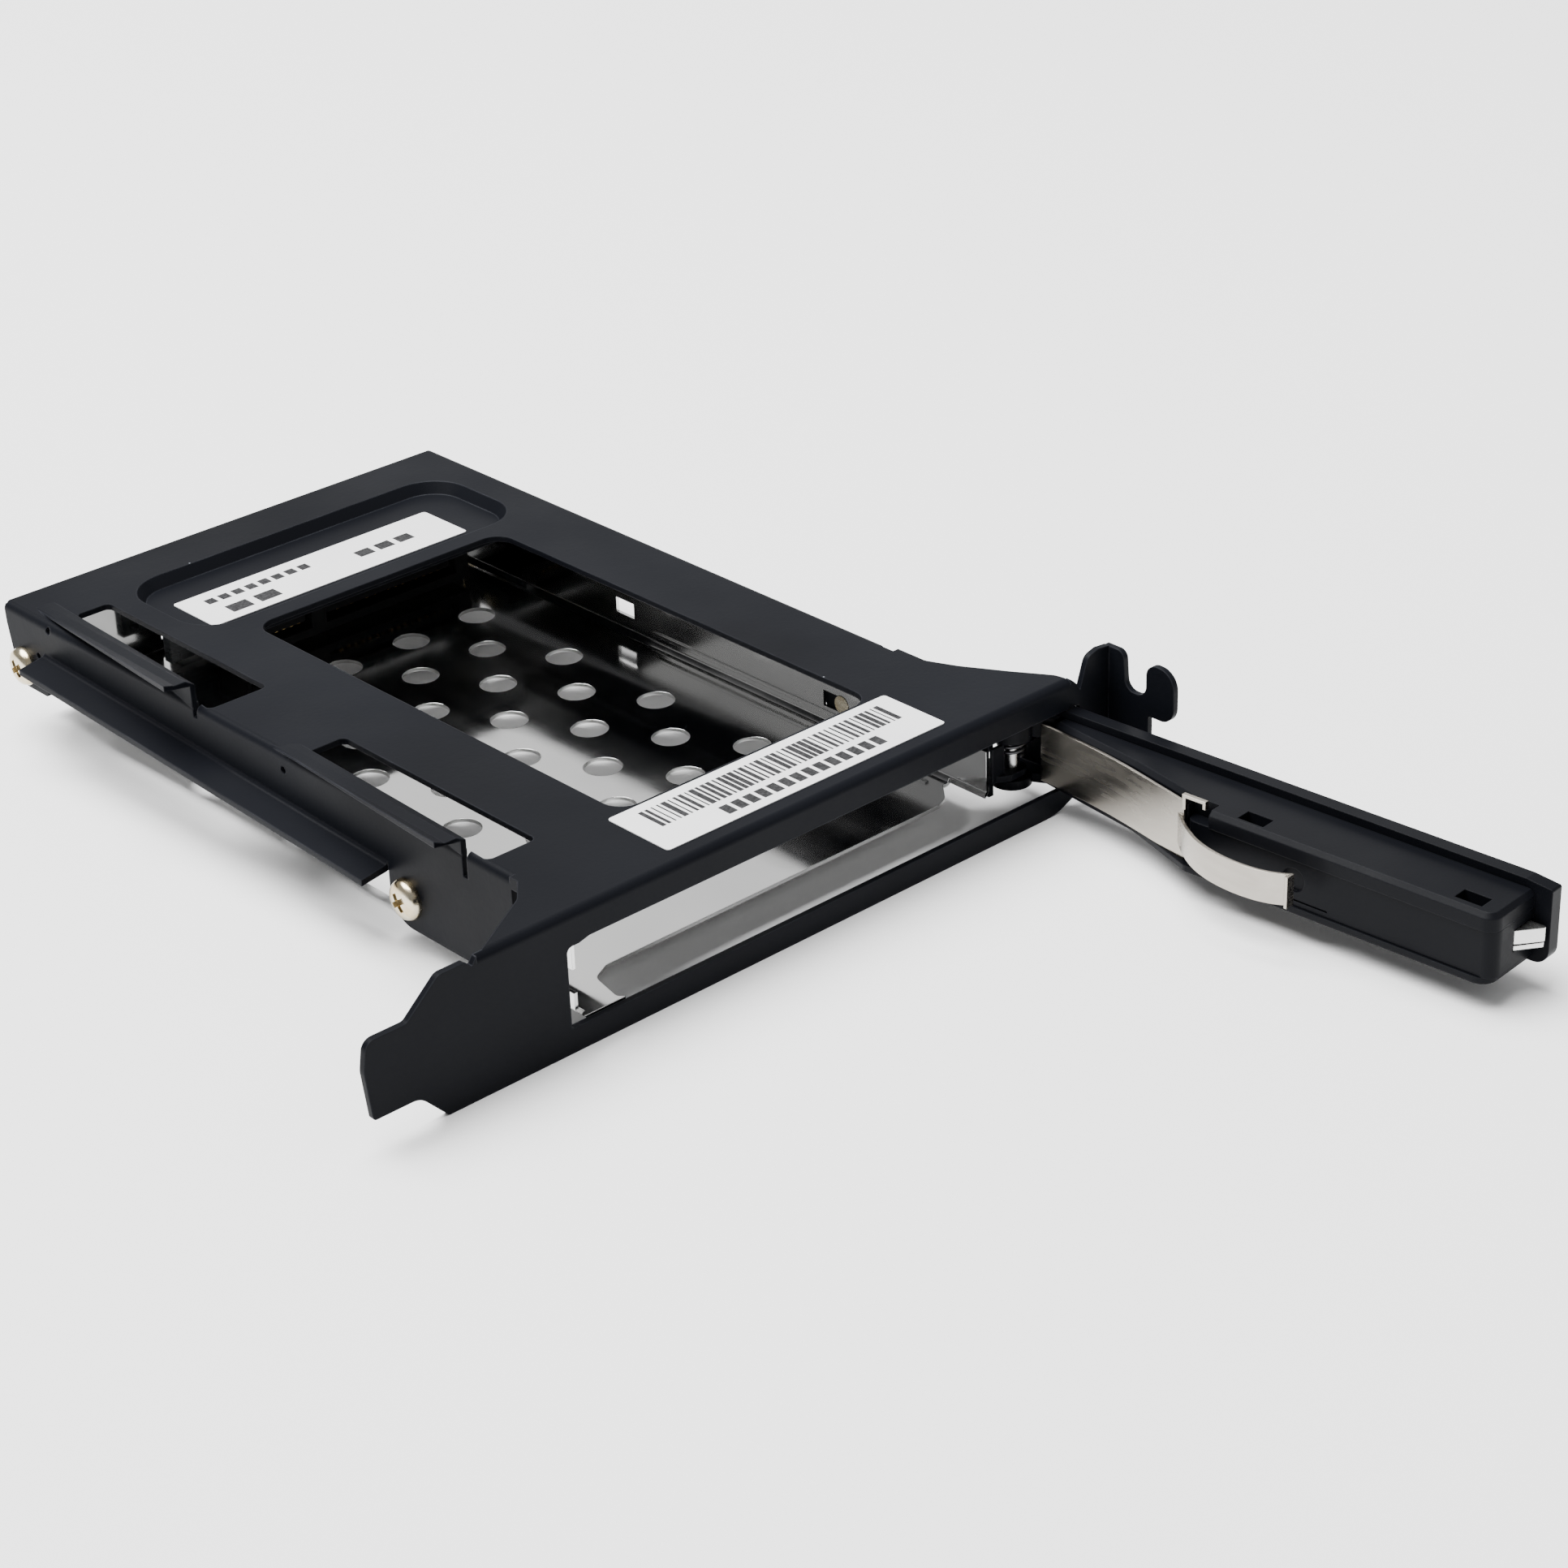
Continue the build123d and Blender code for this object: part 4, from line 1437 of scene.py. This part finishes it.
@dataclass
class Softbox:
    """One square studio light.

    Attributes:
        name: The light's name.
        place: Where it hangs, in metres.
        size: Length of a side, in metres.
        power: Its power in watts.
        aim: The point that it faces.
    """

    name: str
    place: Triple
    size: float
    power: float
    aim: Triple = (0.0, 0.0, 0.0)

    def build(self) -> None:
        """Hang the light and aim it."""
        lamp = bpy.data.lights.new(self.name, "AREA")
        lamp.size = self.size
        lamp.energy = self.power
        light = bpy.data.objects.new(self.name, lamp)
        light.location = self.place
        beam = Vector(self.aim) - Vector(self.place)
        light.rotation_euler = beam.to_track_quat("-Z", "Y").to_euler()
        bpy.context.scene.collection.objects.link(light)


@dataclass
class Studio:
    """Pale floor, soft lights and the camera at the photograph's angle.

    Attributes:
        eye: The camera's place in bracket millimetres.
        azimuth: Its direction from +Y towards +X, in degrees.
        elevation: How far it looks down, in degrees.
        roll: Its roll, in degrees.
        lens: Its focal length, in millimetres.
        sensor: Its sensor's width, in millimetres.
        shift: Its shift along the picture's X and Y.
        near: Its nearest visible distance, in metres.
        floor_size: Length of the floor's side, in metres.
        floor_drop: How far the floor lies under the rack, in metres.
        floor_colour: The floor's tone.
        floor_roughness: The floor's roughness.
        sky: Strength of the even light all round.
        boxes: The lights.
    """

    eye: Triple = (-191.345, -285.274, 205.470)
    azimuth: float = 41.894
    elevation: float = 27.784
    roll: float = -1.9435
    lens: float = 84.103
    sensor: float = 36.0
    shift: Pair = (-0.00636, -0.00146)
    near: float = 0.01
    floor_size: float = 6.0
    floor_drop: float = 0.00002
    floor_colour: Colour = (0.94, 0.94, 0.94)
    floor_roughness: float = 0.9
    sky: float = 0.34
    boxes: tuple[Softbox, ...] = (
        Softbox("key_box", (-0.25, 0.35, 1.35), 1.3, 80.0),
        Softbox("fill_box", (0.9, -0.9, 1.1), 1.0, 3.0),
        Softbox("back_box", (0.95, 1.05, 0.75), 1.0, 3.0),
    )

    def camera(self) -> None:
        """Stand the camera where the photograph was taken from."""
        turn, tilt = math.radians(self.azimuth), math.radians(self.elevation)
        level = math.cos(tilt)
        ahead = Vector((math.sin(turn) * level, math.cos(turn) * level, -math.sin(tilt)))
        roll = Quaternion((0, 0, 1), math.radians(self.roll))
        data = bpy.data.cameras.new("photo_camera")
        data.lens = self.lens
        data.sensor_width = self.sensor
        data.shift_x, data.shift_y = self.shift
        data.clip_start = self.near
        camera = bpy.data.objects.new("photo_camera", data)
        camera.location = BRACKET.at(*self.eye)
        camera.rotation_mode = "QUATERNION"
        camera.rotation_quaternion = ahead.to_track_quat("-Z", "Y") @ roll
        bpy.context.scene.collection.objects.link(camera)
        bpy.context.scene.camera = camera

    def floor(self) -> None:
        """Lay the pale floor under the rack."""
        half = self.floor_size / 2
        corners = [(-half, -half, 0), (half, -half, 0), (half, half, 0), (-half, half, 0)]
        mesh = bpy.data.meshes.new("floor")
        mesh.from_pydata(corners, [], [(0, 1, 2, 3)])
        s = Shader("pale_floor")
        paint = s.finish(Base_Color=self.floor_colour, Roughness=self.floor_roughness)
        mesh.materials.append(paint)
        plane = bpy.data.objects.new("floor", mesh)
        plane.location.z = -self.floor_drop
        bpy.context.scene.collection.objects.link(plane)

    def build(self) -> None:
        """Set up the whole studio."""
        self.camera()
        self.floor()
        world = bpy.data.worlds.new("studio")
        world.use_nodes = True
        bpy.context.scene.world = world
        background = world.node_tree.nodes["Background"]
        background.inputs["Color"].default_value = (1.0, 1.0, 1.0, 1.0)
        background.inputs["Strength"].default_value = self.sky
        for softbox in self.boxes:
            softbox.build()


def main() -> None:
    """Build the rack, its finishes and the studio."""
    logging.basicConfig(level=logging.INFO, format="%(message)s")
    finishes = Finishes()
    sub_assemblies = (
        Cover(),
        Tray(),
        Label("front_label", 0.126, FRONT_PRINT),
        Label("rear_label", -1.474, REAR_PRINT),
        RearBoard(),
        Door(),
    )
    for part in sub_assemblies:
        part.build(finishes)
        LOG.info("%s is built", type(part).__name__)
    Studio().build()


if __name__ == "__main__":
    main()
